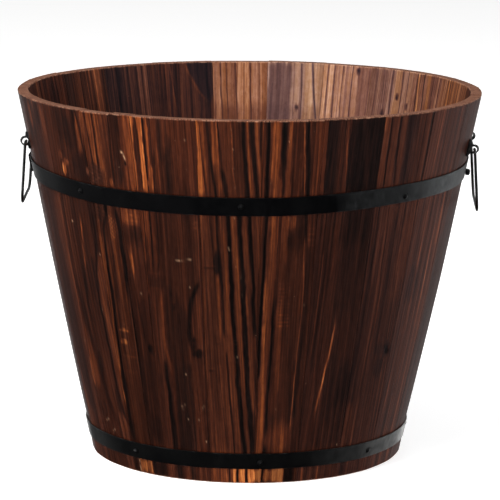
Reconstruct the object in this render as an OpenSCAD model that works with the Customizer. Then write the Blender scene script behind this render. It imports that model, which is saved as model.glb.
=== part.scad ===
// Wooden barrel planter: a tapered tub of butt-jointed staves held by two
// nailed steel hoops, with a planked bottom and two swinging wire handles.
// Origin: centre of the base, on the surface the tub stands on. +Z is up, the
// front faces -Y, and the handles hang at +X and -X.
// Azimuths are in degrees from the front, growing towards +X.

/* [Tub] */
// Outer diameter over the rim
top_d = 390; // [330:1:450]
// Outer diameter at the foot
bottom_d = 264.2; // [240:0.2:300]
// Height of the tub
tub_h = 307; // [290:1:340]
// Thickness of a stave, measured level
wall = 10; // [8:0.5:12]
// Gap left between two staves, measured as an angle
stave_gap = 0.06; // [0.02:0.01:0.2]
// Chamfer on the top and bottom edges of a stave
edge = 0.8; // [0.3:0.1:1.5]

/* [Bottom] */
// Height of the bottom's underside above the ground
recess = 14; // [14:0.5:16]
// Thickness of the bottom boards
board_t = 12; // [10:0.5:14]
// Diameter of the drain hole
drain_d = 16; // [12:1:20]
// Thickness of the two cleats under the bottom
cleat_t = 9; // [6:0.5:10]
// Width of a cleat
cleat_w = 30; // [24:1:36]

/* [Hoops] */
// Height of the upper hoop's middle
upper_z = 244; // [225:0.5:245]
// Tilt of the upper hoop, in degrees
upper_tilt = 2.1; // [0:0.1:2.2]
// Azimuth of the upper hoop's lowest point
upper_low_at = -7; // [-12:1:12]
// Width of the upper hoop
upper_w = 15; // [12:0.5:18]
// Height of the lower hoop's middle
lower_z = 19.5; // [18:0.5:21]
// Width of the lower hoop
lower_w = 13.5; // [10:0.5:15]
// Thickness of the hoop strip
hoop_t = 0.8; // [0.6:0.1:1.5]
// Diameter of a hoop nail's head
nail_head_d = 5; // [4:0.2:6]

/* [Handles] */
// Height of the left handle's pivot
left_pivot_z = 265.5; // [262:0.5:268]
// Height of the right handle's pivot
right_pivot_z = 262.5; // [262:0.5:266]
// Distance of the left pivot from the tub's axis
left_pivot_x = 185.5; // [185.5:0.1:187.5]
// Distance of the right pivot from the tub's axis
right_pivot_x = 187.9; // [186.5:0.1:188.5]
// How far the right handle sits round towards the front, in degrees
right_turn = 2; // [0:0.5:3]
// Drop from the pivot to the grip
handle_drop = 51; // [40:1:55]
// Distance between the two legs' middles
handle_span = 88; // [88:1:100]
// Diameter of the handle wire
wire_d = 2.4; // [2:0.1:2.6]
// How far a hanging handle leans outwards, in degrees
handle_lean = 3.5; // [0:0.5:5]

/* [Hidden] */

// Arc of each stave in degrees, from the front left going round to the right.
// The boards are sawn to random widths.
stave_arc = [15.5, 9, 6, 16.5, 15.5, 14.5, 16, 16, 15.5, 16, 15.5, 16,
             16, 15.5, 15, 16, 15.5, 16.5, 17, 17, 16, 15, 14.5, 14];
first_joint = -59.5;
function joint_at(i) = i == 0 ? first_joint : joint_at(i - 1) + stave_arc[i - 1];

// Nails in each hoop: azimuth of each. The nail beside the right handle has
// a thick head, and the one at 260 goes through the upper hoop's lap.
upper_nails = [-48, -2, 43.5, 84, 133, 178, 220, 260];
upper_nail_drops = [0.2, 0.5, 1.7, 3.5, 0, 0, 0, 0];
lower_nails = [-42, 4.5, 47, 91, 137, 181, 216, 262];
thick_nail = 84;
thick_h = 2.9;
upper_nail_l = 9;
lower_nail_l = 21;
lap_from = 253;   // where the upper strip's outer end leaves the layer under it
lap_to = 268;     // where it ends, sprung a little clear
lap_spring = 3.4;
lap_slope = 5;    // how steeply it runs down towards its end
low_lap_from = 222;
low_lap_to = 210;
fit = 0.05;       // clearance round a shank, and under a head

top_r = top_d / 2;
slope = (top_d - bottom_d) / 2 / tub_h;
taper = atan(slope);
nail_r = 1.1;
hoop_gap = 0.1;
saddle_t = 1.2;
saddle_w = 5.2;
saddle_h = 7.4;
saddle_y = handle_span / 2 - 5.5;
eye_drop = 0.9;   // the wire hangs this far below the eye's middle
// Of each eye, bent by hand: how far it stands out past the wire, and its radius
right_front_eye = [-0.2, 2.45];
right_back_eye = [-0.4, 2.6];
left_front_eye = [0.45, 2.7];
left_back_eye = [-0.4, 2.6];
flange_x = 5.8;
bend_r = 11;
$fn = 180;

function r_out(z) = bottom_d / 2 + slope * z;
function r_in(z) = r_out(z) - wall;
// Middle height of the upper hoop at an azimuth
function upper_mid(a) =
    upper_z - r_out(upper_z) * tan(upper_tilt) * cos(a - upper_low_at);

// Puts children on the wall, with their +Z along the outward normal, +X down
// the wall and +Y along the hoop.
module on_wall(a, z, off = 0) {
    rotate([0, 0, a - 90])
        translate([r_out(z), 0, z])
            rotate([0, 90 + taper, 0])
                translate([0, 0, off]) children();
}

// A slice of a solid of revolution between two azimuths
module slice(a0, a1) {
    rotate([0, 0, a0 - 90]) rotate_extrude(angle = a1 - a0) children();
}

function between(a, a0, a1) = a > a0 && a < a1;

// The bore that a driven nail makes
function upper_nail_z(k) = upper_mid(upper_nails[k]) - upper_nail_drops[k];
module nail_bore(a, z, l, r) {
    on_wall(a, z, -l) cylinder(h = l + 12, r = r + fit, $fn = 32);
}

module stave(i) {
    a0 = joint_at(i);
    a1 = joint_at(i + 1);
    color(i % 3 == 0 ? "#5a3223" : i % 3 == 1 ? "#6b3f2a" : "#4a2a20")
    difference() {
        slice(a0 + stave_gap / 2, a1 - stave_gap / 2) polygon([
            [r_in(0) + edge / 2, 0], [r_out(0) - edge, 0],
            [r_out(edge), edge], [r_out(tub_h - edge), tub_h - edge],
            [r_out(tub_h) - edge, tub_h], [r_in(tub_h) + edge, tub_h],
            [r_in(tub_h - edge), tub_h - edge], [r_in(edge / 2), edge / 2]
        ]);
        for (n = [-1:1], k = [0:7]) if (between(upper_nails[k] + 360 * n, a0, a1))
            nail_bore(upper_nails[k], upper_nail_z(k), upper_nail_l, nail_r);
        for (n = [-1:1], a = lower_nails) if (between(a + 360 * n, a0, a1))
            nail_bore(a, lower_z - 1, lower_nail_l, nail_r);
        for (n = [-1:1], s = saddles) if (between(s[0] + 360 * n, a0, a1))
            for (x = [-flange_x, flange_x])
                on_wall(s[0], s[2] - x * cos(taper), -8.5)
                    cylinder(h = 20, r = 0.8 + fit, $fn = 24);
    }
}

// Planks of the bottom, all five cut from one round with a tapered edge
board_joints = [-200, -75, -25, 25, 75, 200];
module bottom_board(i) {
    color(i % 2 == 0 ? "#6f4a33" : "#7a533a")
    difference() {
        intersection() {
            translate([0, 0, recess]) cylinder(h = board_t,
                r1 = r_in(recess) - 0.3, r2 = r_in(recess + board_t) - 0.3);
            translate([-200, board_joints[i] + 0.1, recess - 1])
                cube([400, board_joints[i + 1] - board_joints[i] - 0.2, board_t + 2]);
        }
        if (i == 2) translate([0, 0, recess - 1])
            cylinder(h = board_t + 2, r = drain_d / 2, $fn = 64);
        for (a = lower_nails) nail_bore(a, lower_z - 1, lower_nail_l, nail_r);
        for (x = cleat_xs, y = cleat_nail_ys) translate([x, y, recess - 1])
            cylinder(h = 9 + 1, r = 0.9 + fit, $fn = 24);
    }
}

// Two cleats under the boards, which hold the planks together
cleat_xs = [-60, 60];
cleat_nail_ys = [-84, -50, 0, 50, 84];
module bottom_cleat(x) {
    color("#6a4630") difference() {
        translate([x - cleat_w / 2, -92, recess - cleat_t - 0.05])
            cube([cleat_w, 184, cleat_t]);
        for (y = cleat_nail_ys) translate([x, y, 0])
            cylinder(h = recess + 1, r = 0.9 + fit, $fn = 24);
    }
}

module cleat_nails() {
    color("#3a3a3c")
    for (x = cleat_xs, y = cleat_nail_ys)
        translate([x, y, recess - cleat_t - 0.1 - 0.9]) {
            cylinder(h = 0.9, r = 2.1, $fn = 32);
            translate([0, 0, 0.9]) cylinder(h = cleat_t + 8, r = 0.9, $fn = 24);
        }
}

// A strip of steel round the tub, cut level or at a tilt
module band(z, w, tilt, turn) {
    intersection() {
        rotate_extrude() polygon([
            [r_out(z - w) + hoop_gap, z - w],
            [r_out(z - w) + hoop_gap + hoop_t, z - w],
            [r_out(z + w) + hoop_gap + hoop_t, z + w],
            [r_out(z + w) + hoop_gap, z + w]
        ]);
        translate([0, 0, z]) rotate([0, 0, turn]) rotate([tilt, 0, 0])
            cube([2 * top_d, 2 * top_d, w], center = true);
    }
}

// The strip's outer end, lying on the layer under it and springing clear
module lap(z, w, mid, run_down, from, to, spring) {
    lift = hoop_gap + hoop_t - 0.3;
    p = from - 90;
    r = r_out(z) + lift;
    intersection() {
        translate([r * cos(p), r * sin(p), 0])
            rotate([0, 0, to > from ? -spring : spring])
                translate([-r * cos(p), -r * sin(p), 0])
                    slice(min(from, to), max(from, to)) polygon([
                        [r_out(z - w) + lift, z - w],
                        [r_out(z - w) + lift + hoop_t, z - w],
                        [r_out(z + w) + lift + hoop_t, z + w],
                        [r_out(z + w) + lift, z + w]
                    ]);
        if (run_down == 0) translate([0, 0, mid])
            cube([2 * top_d, 2 * top_d, w], center = true);
        else translate([r * cos(p), r * sin(p), mid]) rotate([0, 0, p])
            rotate([-run_down, 0, 0])
                cube([2 * top_d, 2 * top_d, w], center = true);
    }
}

module upper_hoop() {
    color("#1c1c1e") difference() {
        union() {
            band(upper_z, upper_w, upper_tilt, upper_low_at);
            lap(upper_z, upper_w, upper_mid(lap_from), lap_slope, lap_from,
                lap_to, lap_spring);
        }
        for (k = [0:7]) nail_bore(upper_nails[k], upper_nail_z(k), 3, nail_r);
        on_wall(lap_from + 2.5, upper_mid(lap_from + 2.5), -3)
            cylinder(h = 12, r = 1.3 + fit, $fn = 32);
    }
}

module lower_hoop() {
    color("#1c1c1e") difference() {
        union() {
            band(lower_z, lower_w, 0, 0);
            lap(lower_z, lower_w, lower_z, 0, low_lap_from, low_lap_to, 0.9);
        }
        for (a = lower_nails) nail_bore(a, lower_z - 1, 3, nail_r);
        on_wall(low_lap_from - 3, lower_z, -3)
            cylinder(h = 12, r = 1.3 + fit, $fn = 32);
    }
}

// Domed head of a given radius and height, standing on z = 0
module dome(r, h) {
    big = (r * r + h * h) / (2 * h);
    intersection() {
        translate([0, 0, h - big]) sphere(r = big, $fn = 64);
        cylinder(h = h, r = r, $fn = 64);
    }
}

// A nail whose head rests on a surface that is off the wall by seat
module nail(a, z, l, seat, thick = 0) {
    on_wall(a, z, seat) {
        if (thick > 0) {
            cylinder(h = thick + 0.01, r = 2.8, $fn = 64);
            translate([0, 0, thick]) dome(2.8, 0.9);
        } else dome(nail_head_d / 2, 1.6);
        translate([0, 0, -l - seat + 1]) cylinder(h = l + seat - 1 + 0.1, r = nail_r, $fn = 32);
        translate([0, 0, -l - seat]) cylinder(h = 1, r1 = 0.3, r2 = nail_r, $fn = 32);
    }
}

on_hoop = (hoop_gap + hoop_t) * cos(taper) + fit;

module upper_hoop_nails() {
    color("#2a2a2c") for (k = [0:7]) {
        a = upper_nails[k];
        nail(a, upper_nail_z(k), upper_nail_l - 0.5,
             on_hoop + (a > lap_from && a < lap_to ? 1.95 : 0),
             a == thick_nail ? thick_h : 0);
    }
}

module lower_hoop_nails() {
    color("#2a2a2c") for (a = lower_nails)
        nail(a, lower_z - 1, lower_nail_l - 0.5,
             on_hoop + (a > low_lap_to && a < low_lap_from ? 0.8 : 0));
}

module rivet(a, z, over) {
    on_wall(a, z, 0) {
        translate([0, 0, on_hoop + over]) dome(2.1, 1.1);
        translate([0, 0, hoop_gap * cos(taper)])
            cylinder(h = on_hoop + over, r = 1.3, $fn = 32);
    }
}

module hoop_rivets() {
    color("#2a2a2c") {
        rivet(lap_from + 2.5, upper_mid(lap_from + 2.5), 1.15);
        rivet(low_lap_from - 3, lower_z, 0.8);
    }
}

// Saddles: a strip bent into a closed eye with its two feet nailed to the wall,
// one beside each leg. Of each: azimuth, distance of the eye from the wall,
// height of the foot, and radius of the eye.
function eye_dist(px, pz) =
    (norm([px, saddle_y]) - r_out(pz + eye_drop)) * cos(taper);
function foot_z(px, pz) = pz + eye_drop + eye_dist(px, pz) * sin(taper);
function eye_az(px) = atan2(px, saddle_y);
function saddle_at(px, pz, a, e) =
    [a, eye_dist(px + e[0], pz), foot_z(px + e[0], pz), e[1]];
saddles = [
    saddle_at(right_pivot_x, right_pivot_z,
        eye_az(right_pivot_x + right_front_eye[0]) - right_turn, right_front_eye),
    saddle_at(right_pivot_x, right_pivot_z,
        180 - eye_az(right_pivot_x + right_back_eye[0]) - right_turn, right_back_eye),
    saddle_at(left_pivot_x, left_pivot_z,
        -eye_az(left_pivot_x + left_front_eye[0]), left_front_eye),
    saddle_at(left_pivot_x, left_pivot_z,
        180 + eye_az(left_pivot_x + left_back_eye[0]), left_back_eye)
];

module saddle(s) {
    off = s[1];
    eye_r = s[3];
    color("#1f1f21") on_wall(s[0], s[2], fit) difference() {
        rotate([90, 0, 0]) translate([0, 0, -saddle_w / 2])
        linear_extrude(height = saddle_w) difference() {
            intersection() {
                union() {
                    translate([-saddle_h, 0]) square([2 * saddle_h, saddle_t]);
                    polygon([[-3.9, 0.1], [3.9, 0.1], [3.9, saddle_t],
                        [eye_r + 0.6, off], [-eye_r - 0.6, off], [-3.9, saddle_t]]);
                    translate([0, off]) circle(r = eye_r + saddle_t, $fn = 96);
                }
                translate([-20, 0]) square([40, 30]);
            }
            translate([0, off]) circle(r = eye_r, $fn = 96);
            // the slit where the strip's two legs meet
            translate([-0.1, -1]) square([0.2, off + 1]);
        }
        for (x = [-flange_x, flange_x]) translate([x, 0, -1])
            cylinder(h = saddle_t + 2, r = 0.8 + fit, $fn = 24);
    }
}

module saddle_nails() {
    color("#2a2a2c") for (s = saddles, x = [-flange_x, flange_x])
        on_wall(s[0], s[2] - x * cos(taper), saddle_t + 2 * fit) {
            dome(1.5, 0.55);
            translate([0, 0, -saddle_t - 8]) cylinder(h = 8 + saddle_t + 0.1, r = 0.8, $fn = 24);
        }
}

// A bail of round wire, drawn hanging in the YZ plane below its pivot line
module bail() {
    y = handle_span / 2;
    r = wire_d / 2;
    tight = 2.5;
    // grip
    translate([0, -(y - bend_r), -handle_drop]) rotate([-90, 0, 0])
        cylinder(h = 2 * (y - bend_r), r = r, $fn = 32);
    for (s = [-1, 1]) mirror([0, s < 0 ? 1 : 0, 0]) {
        // rounded corner
        translate([0, y - bend_r, -handle_drop + bend_r]) rotate([0, -90, 0])
            rotate([0, 0, 90]) rotate_extrude(angle = 90)
                translate([bend_r, 0]) circle(r = r, $fn = 32);
        // leg
        translate([0, y, -handle_drop + bend_r])
            cylinder(h = handle_drop - bend_r - tight, r = r, $fn = 32);
        // bend into the eye
        translate([0, y - tight, -tight]) rotate([0, -90, 0])
            rotate_extrude(angle = 90)
                translate([tight, 0]) circle(r = r, $fn = 32);
        // end through the eye
        translate([0, saddle_y - 5.5, 0]) rotate([-90, 0, 0])
            cylinder(h = y - tight - saddle_y + 5.5, r = r, $fn = 32);
    }
}

module right_handle() {
    color("#232326") rotate([0, 0, -right_turn])
        translate([right_pivot_x, 0, right_pivot_z])
            rotate([0, -handle_lean, 0]) bail();
}

module left_handle() {
    color("#232326") translate([-left_pivot_x, 0, left_pivot_z])
        rotate([0, handle_lean, 0]) bail();
}

stave(0);  // stave_01
stave(1);  // stave_02
stave(2);  // stave_03
stave(3);  // stave_04
stave(4);  // stave_05
stave(5);  // stave_06
stave(6);  // stave_07
stave(7);  // stave_08
stave(8);  // stave_09
stave(9);  // stave_10
stave(10);  // stave_11
stave(11);  // stave_12
stave(12);  // stave_13
stave(13);  // stave_14
stave(14);  // stave_15
stave(15);  // stave_16
stave(16);  // stave_17
stave(17);  // stave_18
stave(18);  // stave_19
stave(19);  // stave_20
stave(20);  // stave_21
stave(21);  // stave_22
stave(22);  // stave_23
stave(23);  // stave_24
bottom_board(0);  // bottom_board_1
bottom_board(1);  // bottom_board_2
bottom_board(2);  // bottom_board_3
bottom_board(3);  // bottom_board_4
bottom_board(4);  // bottom_board_5
bottom_cleat(cleat_xs[0]);  // bottom_cleat_left
bottom_cleat(cleat_xs[1]);  // bottom_cleat_right
cleat_nails();
upper_hoop();
lower_hoop();
upper_hoop_nails();
lower_hoop_nails();
hoop_rivets();
left_handle();
right_handle();
saddle(saddles[2]);  // left_front_saddle
saddle(saddles[3]);  // left_back_saddle
saddle(saddles[0]);  // right_front_saddle
saddle(saddles[1]);  // right_back_saddle
saddle_nails();
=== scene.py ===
import math
import bmesh
import bpy
import numpy as np
from mathutils import Matrix, Vector


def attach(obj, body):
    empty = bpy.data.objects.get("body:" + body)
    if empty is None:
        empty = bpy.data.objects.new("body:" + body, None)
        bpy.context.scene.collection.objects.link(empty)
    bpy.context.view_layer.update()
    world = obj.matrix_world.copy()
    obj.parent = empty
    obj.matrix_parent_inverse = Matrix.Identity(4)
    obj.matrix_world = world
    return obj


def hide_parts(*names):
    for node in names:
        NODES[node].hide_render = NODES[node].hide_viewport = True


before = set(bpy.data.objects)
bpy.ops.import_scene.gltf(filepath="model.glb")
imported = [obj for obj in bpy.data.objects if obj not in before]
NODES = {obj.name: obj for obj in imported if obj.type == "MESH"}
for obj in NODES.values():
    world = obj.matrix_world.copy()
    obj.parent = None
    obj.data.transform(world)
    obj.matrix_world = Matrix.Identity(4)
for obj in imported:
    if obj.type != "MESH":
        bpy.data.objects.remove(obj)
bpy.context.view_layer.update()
MM = 0.001

# ------------------------------------------------------------------ tub sizes
TOP_R, FOOT_R, H, WALL = 195.0, 132.1, 307.0, 10.0
SLOPE = (TOP_R - FOOT_R) / H
TAPER = math.atan(SLOPE)
CT, ST = math.cos(TAPER), math.sin(TAPER)
WALL_LEN = H / CT
EDGE = 0.8
TIGHT = 0.001
ARCS = [15.5, 9, 6, 16.5, 15.5, 14.5, 16, 16, 15.5, 16, 15.5, 16,
        16, 15.5, 15, 16, 15.5, 16.5, 17, 17, 16, 15, 14.5, 14]
JOINTS = [-59.5]
for _a in ARCS:
    JOINTS.append(JOINTS[-1] + _a)


def r_out(z):
    return FOOT_R + SLOPE * z


def upper_mid(a):
    return 244.0 - r_out(244.0) * math.tan(math.radians(2.1)) * math.cos(math.radians(a + 7))


UPPER_NAILS = [(-48, .2), (-2, .5), (43.5, 1.7), (84, 3.5), (133, 0), (178, 0), (220, 0), (260, 0)]
HOOP_T = 0.8
ON_HOOP = (0.1 + HOOP_T) * CT + 0.05


def hoop_wave(a):
    """How far the strip strays from its plane where it goes round the front, in mm."""
    a = (a + 180) % 360 - 180
    k = [-84, -66, -52, -40, -21, 0, 10, 25, 41, 57, 73, 86]
    v = [0, .6, .1, -.6, -.6, -.7, -.7, .3, 1.1, .6, -.5, 0]
    return float(np.interp(a, k, v, 0, 0))


def tuck(a, z):
    """How far the low right of the wall and its hoop stay inside the round, in mm."""
    a = (np.asarray(a, float) + 180) % 360 - 180
    return -1.5 * np.clip(1 - np.abs((a - 88) / 42.0), 0, 1) ** .7 * np.clip((150 - np.asarray(z, float)) / 110.0, 0, 1)


def wall_frame(a, z):
    """Point on the outer wall and its axes: outward, up the wall, along the hoop (azimuth growing)."""
    c, s = math.cos(math.radians(a)), math.sin(math.radians(a))
    d = np.array([s, -c, 0.0])
    n = d * CT + np.array([0, 0, -ST])
    v = d * ST + np.array([0, 0, CT])
    w = np.array([c, s, 0.0])
    return d * (r_out(z) + float(tuck(a, z))) + np.array([0, 0, z]), n, v, w


# ---------------------------------------------------------------------- noise
def _hash(ix, iy, seed):
    h = (ix * 374761393 + iy * 668265263 + seed * 974711) & 0xFFFFFFFF
    h = ((h ^ (h >> 13)) * 1274126177) & 0xFFFFFFFF
    return ((h ^ (h >> 16)) & 0xFFFF) / 32767.5 - 1.0


def noise(x, y, seed):
    """Smooth noise in -1..1 on arrays."""
    x, y = np.broadcast_arrays(np.asarray(x, float) + 4096.0, np.asarray(y, float) + 4096.0)
    x0, y0 = np.floor(x), np.floor(y)
    fx, fy = x - x0, y - y0
    fx, fy = fx * fx * (3 - 2 * fx), fy * fy * (3 - 2 * fy)
    ix, iy = x0.astype(np.int64), y0.astype(np.int64)
    a, b = _hash(ix, iy, seed), _hash(ix + 1, iy, seed)
    c, d = _hash(ix, iy + 1, seed), _hash(ix + 1, iy + 1, seed)
    return (a * (1 - fx) + b * fx) * (1 - fy) + (c * (1 - fx) + d * fx) * fy


def smooth(x):
    x = np.clip(x, 0, 1)
    return x * x * (3 - 2 * x)


def through(pts, t):
    """A smooth line through given (x, t) points, as x at each t."""
    ts = np.array([p[1] for p in pts], float)
    xs = np.array([p[0] for p in pts], float)
    if len(ts) < 3:
        return np.interp(t, ts, xs)
    m = np.empty(len(ts))
    m[1:-1] = (xs[2:] - xs[:-2]) / (ts[2:] - ts[:-2])
    m[0], m[-1] = (xs[1] - xs[0]) / (ts[1] - ts[0]), (xs[-1] - xs[-2]) / (ts[-1] - ts[-2])
    k = np.clip(np.searchsorted(ts, t, side="right") - 1, 0, len(ts) - 2)
    h = ts[k + 1] - ts[k]
    u = np.clip((t - ts[k]) / h, 0, 1)
    return ((2 * u**3 - 3 * u**2 + 1) * xs[k] + (u**3 - 2 * u**2 + u) * h * m[k]
            + (-2 * u**3 + 3 * u**2) * xs[k + 1] + (u**3 - u**2) * h * m[k + 1])


# ------------------------------------------------------------- painted boards
class Board:
    """Fields over one face of a board: x is the share across, t the share down from the top."""

    def __init__(self, x, t, w0, w1, length, seed, base=0.45, cool=0.4, contrast=1.0,
                 lean=((0, 0), (1, 0)), rings=3.2, ring_amp=0.5, arch=None, sway=0.8):
        self.x, self.t = np.meshgrid(x, t)
        self.w = w0 + (w1 - w0) * self.t
        self.len, self.seed = length, seed
        self.my = self.t * length
        shift = through([(p[1], p[0]) for p in lean], self.t.ravel()).reshape(self.t.shape)
        g = (self.x - 0.5) * self.w - shift
        g = g + sway * noise(self.my / 95.0, g / 60.0, seed + 1) + 0.25 * sway * noise(self.my / 31.0, g / 22.0, seed + 2)
        self.g = g
        self.warp = np.zeros_like(g)
        self.tone = np.full_like(g, base)
        self.cool = np.full_like(g, cool)
        self.mark = np.zeros_like(g)
        self.dent = np.zeros_like(g)
        self.ring = np.full_like(g, ring_amp)
        self.rings, self.arch, self.contrast = rings, arch, contrast
        self._streaks()

    def _streaks(self):
        g, y, s, c = self.g, self.my, self.seed, self.contrast
        self.tone += c * (0.075 * noise(g / 9.0, y / 260.0, s + 3) + 0.065 * noise(g / 3.6, y / 170.0, s + 4)
                          + 0.055 * noise(g / 1.7, y / 120.0, s + 5) + 0.035 * noise(g / 0.9, y / 60.0, s + 6))
        self.cool += 0.14 * noise(g / 7.0, y / 150.0, s + 7) + 0.08 * noise(g / 2.4, y / 70.0, s + 8)

    def _mix(self, a, v, cool=None):
        a = np.clip(a, 0, 1)
        self.tone = self.tone * (1 - a) + v * a
        if cool is not None:
            self.cool = self.cool * (1 - a) + cool * a

    def line(self, v, w, pts, k=0.9, cool=None, jag=0.25, fade=0.03, p=3.0, ends=(1, 1)):
        """A streak of width w mm through (x, t) points."""
        t0, t1 = pts[0][1], pts[-1][1]
        xc = through(pts, self.t.ravel()).reshape(self.t.shape)
        d = (self.x - xc) * self.w + jag * w * noise(self.my / 14.0, self.my * 0 + w, self.seed + 11) \
            + 0.35 * jag * w * noise(self.my / 4.5, self.x * 3, self.seed + 12)
        ww = 0.5 * w * (1 + 0.22 * noise(self.my / 23.0, xc * 9, self.seed + 13))
        a = 1 / (1 + (np.abs(d) / ww) ** (2 * p))
        f0 = smooth((self.t - t0) / fade + 0.5) if ends[0] else 1.0 * (self.t >= t0)
        f1 = smooth((t1 - self.t) / fade + 0.5) if ends[1] else 1.0 * (self.t <= t1)
        a = a * f0 * f1 * k * (1 + 0.12 * noise(self.my / 17.0, self.x * 40, self.seed + 14))
        self._mix(a, v, cool)
        if v < 0.2:
            self.dent += 0.12 * np.clip(a, 0, 1)
        return self

    def patch(self, v, x0, x1, t0, t1, k=0.8, cool=None, sx=0.8, sy=6.0, jag=1.0):
        """A soft rectangle, sx and sy are its edges' softness in mm across and along."""
        n = jag * noise(self.my / 16.0, self.x * 7, self.seed + 21) + 0.5 * jag * noise(self.my / 5.0, self.x * 30, self.seed + 22)
        m = 2.5 * jag * noise(self.g / 2.2, self.my / 60.0, self.seed + 23)
        a = smooth(((self.x - x0) * self.w + n) / sx + 0.5) * smooth(((x1 - self.x) * self.w + n) / sx + 0.5)
        a = a * smooth(((self.t - t0) * self.len + m) / sy + 0.5) * smooth(((t1 - self.t) * self.len + m) / sy + 0.5)
        self._mix(a * k, v, cool)
        return self

    def blob(self, v, x, t, rx, ry, k=0.85, cool=None, soft=0.6, rough=0.25):
        """A soft ellipse of half axes rx (share across) and ry (share down)."""
        dx, dy = (self.x - x) / rx, (self.t - t) / ry
        d = np.sqrt(dx * dx + dy * dy) + rough * noise(self.g / 3.0, self.my / 12.0, self.seed + 31) \
            + 0.5 * rough * noise(self.g / 1.1, self.my / 6.0, self.seed + 32)
        self._mix(smooth((1 - d) / soft + 0.5) * k, v, cool)
        return self

    def knot(self, x, t, r, v=0.06, halo=2.6, stretch=1.5):
        """A small dark knot of radius r mm, with the grain bent round it."""
        dx, dy = (self.x - x) * self.w, (self.t - t) * self.len / stretch
        d = np.sqrt(dx * dx + dy * dy)
        self.warp += np.sign(dx) * r * 1.4 * np.exp(-((d / (r * halo)) ** 2)) * (1 - np.exp(-((dx / (0.5 * r)) ** 2)))
        rim = np.exp(-(((d - r * 1.5) / (0.5 * r)) ** 2))
        self._mix(rim * 0.5, 0.2, 0.5)
        core = smooth((r - d) / (0.5 * r) + 0.5)
        self._mix(core * 0.95, v, 0.5)
        self.dent += 0.25 * core
        self.ring *= 1 - 0.7 * core
        return self

    def ripple(self, v, x0, x1, t0, t1, period=3.4, k=0.6, cool=None, slant=0.0, sharp=2.0):
        """Marks across the grain."""
        y = self.my + slant * self.x * self.w + 0.7 * noise(self.x * self.w / 5.0, self.my / 9.0, self.seed + 41)
        s = (0.5 + 0.5 * np.cos(2 * math.pi * y / period)) ** sharp
        s = s * (0.55 + 0.45 * noise(self.x * self.w / 3.5, self.my / 2.2, self.seed + 42))
        a = smooth((self.x - x0) * self.w / 2.5 + 0.5) * smooth((x1 - self.x) * self.w / 2.5 + 0.5) \
            * smooth((self.t - t0) * self.len / 5 + 0.5) * smooth((t1 - self.t) * self.len / 5 + 0.5)
        self._mix(np.clip(a * s, 0, 1) * k, v, cool)
        self.dent += 0.10 * a * s
        return self

    def scratch(self, pts, w=0.7, k=0.8):
        """A pale scratch along straight runs between (x, t) points."""
        px, py = self.x * self.w, self.my
        best = np.full_like(px, 1e9)
        for (xa, ta), (xb, tb) in zip(pts[:-1], pts[1:]):
            ax, ay = xa * self.w, ta * self.len
            bx, by = xb * self.w, tb * self.len
            ex, ey = bx - ax, by - ay
            u = np.clip(((px - ax) * ex + (py - ay) * ey) / (ex * ex + ey * ey + 1e-9), 0, 1)
            best = np.minimum(best, np.hypot(px - ax - u * ex, (py - ay - u * ey) * 0.8))
        a = 1 / (1 + (best / (0.42 * w)) ** 4)
        self.mark = np.maximum(self.mark, .5 * a * k * np.clip(.55 + .7 * noise(px / 1.1, py / 1.1, self.seed + 44), 0, 1))
        self.dent += 0.1 * a
        return self

    def speck(self, x, t, r=0.8, k=0.8):
        d = np.hypot((self.x - x) * self.w, (self.t - t) * self.len * 0.7)
        self.mark = np.maximum(self.mark, .5 * k / (1 + (d / (.38 * r)) ** 4))
        return self

    def done(self):
        g = self.g + self.warp
        if self.arch:
            # flat-sawn board: rings seen as long pointed arches about (xc, tc)
            xc, tc, steep = self.arch
            dx = g - xc
            dy = (self.my - tc * self.len) / steep
            phi = np.sqrt(dx * dx + dy * dy + 4.0) / self.rings * 1.6
        else:
            phi = g / self.rings + 0.8 * noise(g / 13.0, self.my / 400.0, self.seed + 51)
        phi = phi + 0.10 * noise(g / 2.5, self.my / 45.0, self.seed + 52)
        self.phi = phi + 50.0 + (self.seed % 17)
        # fine streaks over everything that was painted
        y, s = self.my, self.seed
        fine = .080 * noise(g / 3.0, y / 130.0, s + 71) + .110 * noise(g / 1.5, y / 85.0, s + 72) + .07 * noise(g / .8, y / 40.0, s + 73)
        self.tone = self.tone + self.contrast * fine * np.clip(.45 + self.tone, .4, 1.2)
        self.tone = np.clip(self.tone, 0.0, 1.05)
        self.cool = np.clip(self.cool, 0.0, 1.0)
        y, s = self.my, self.seed
        self.relief = np.clip(
            self.dent + 0.10 * (0.5 - self.tone) + 0.05 * noise(g / 1.5, y / 70.0, s + 61)
            + 0.05 * noise(g / 6.0, y / 90.0, s + 62), 0.0, 0.6)
        return self


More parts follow.
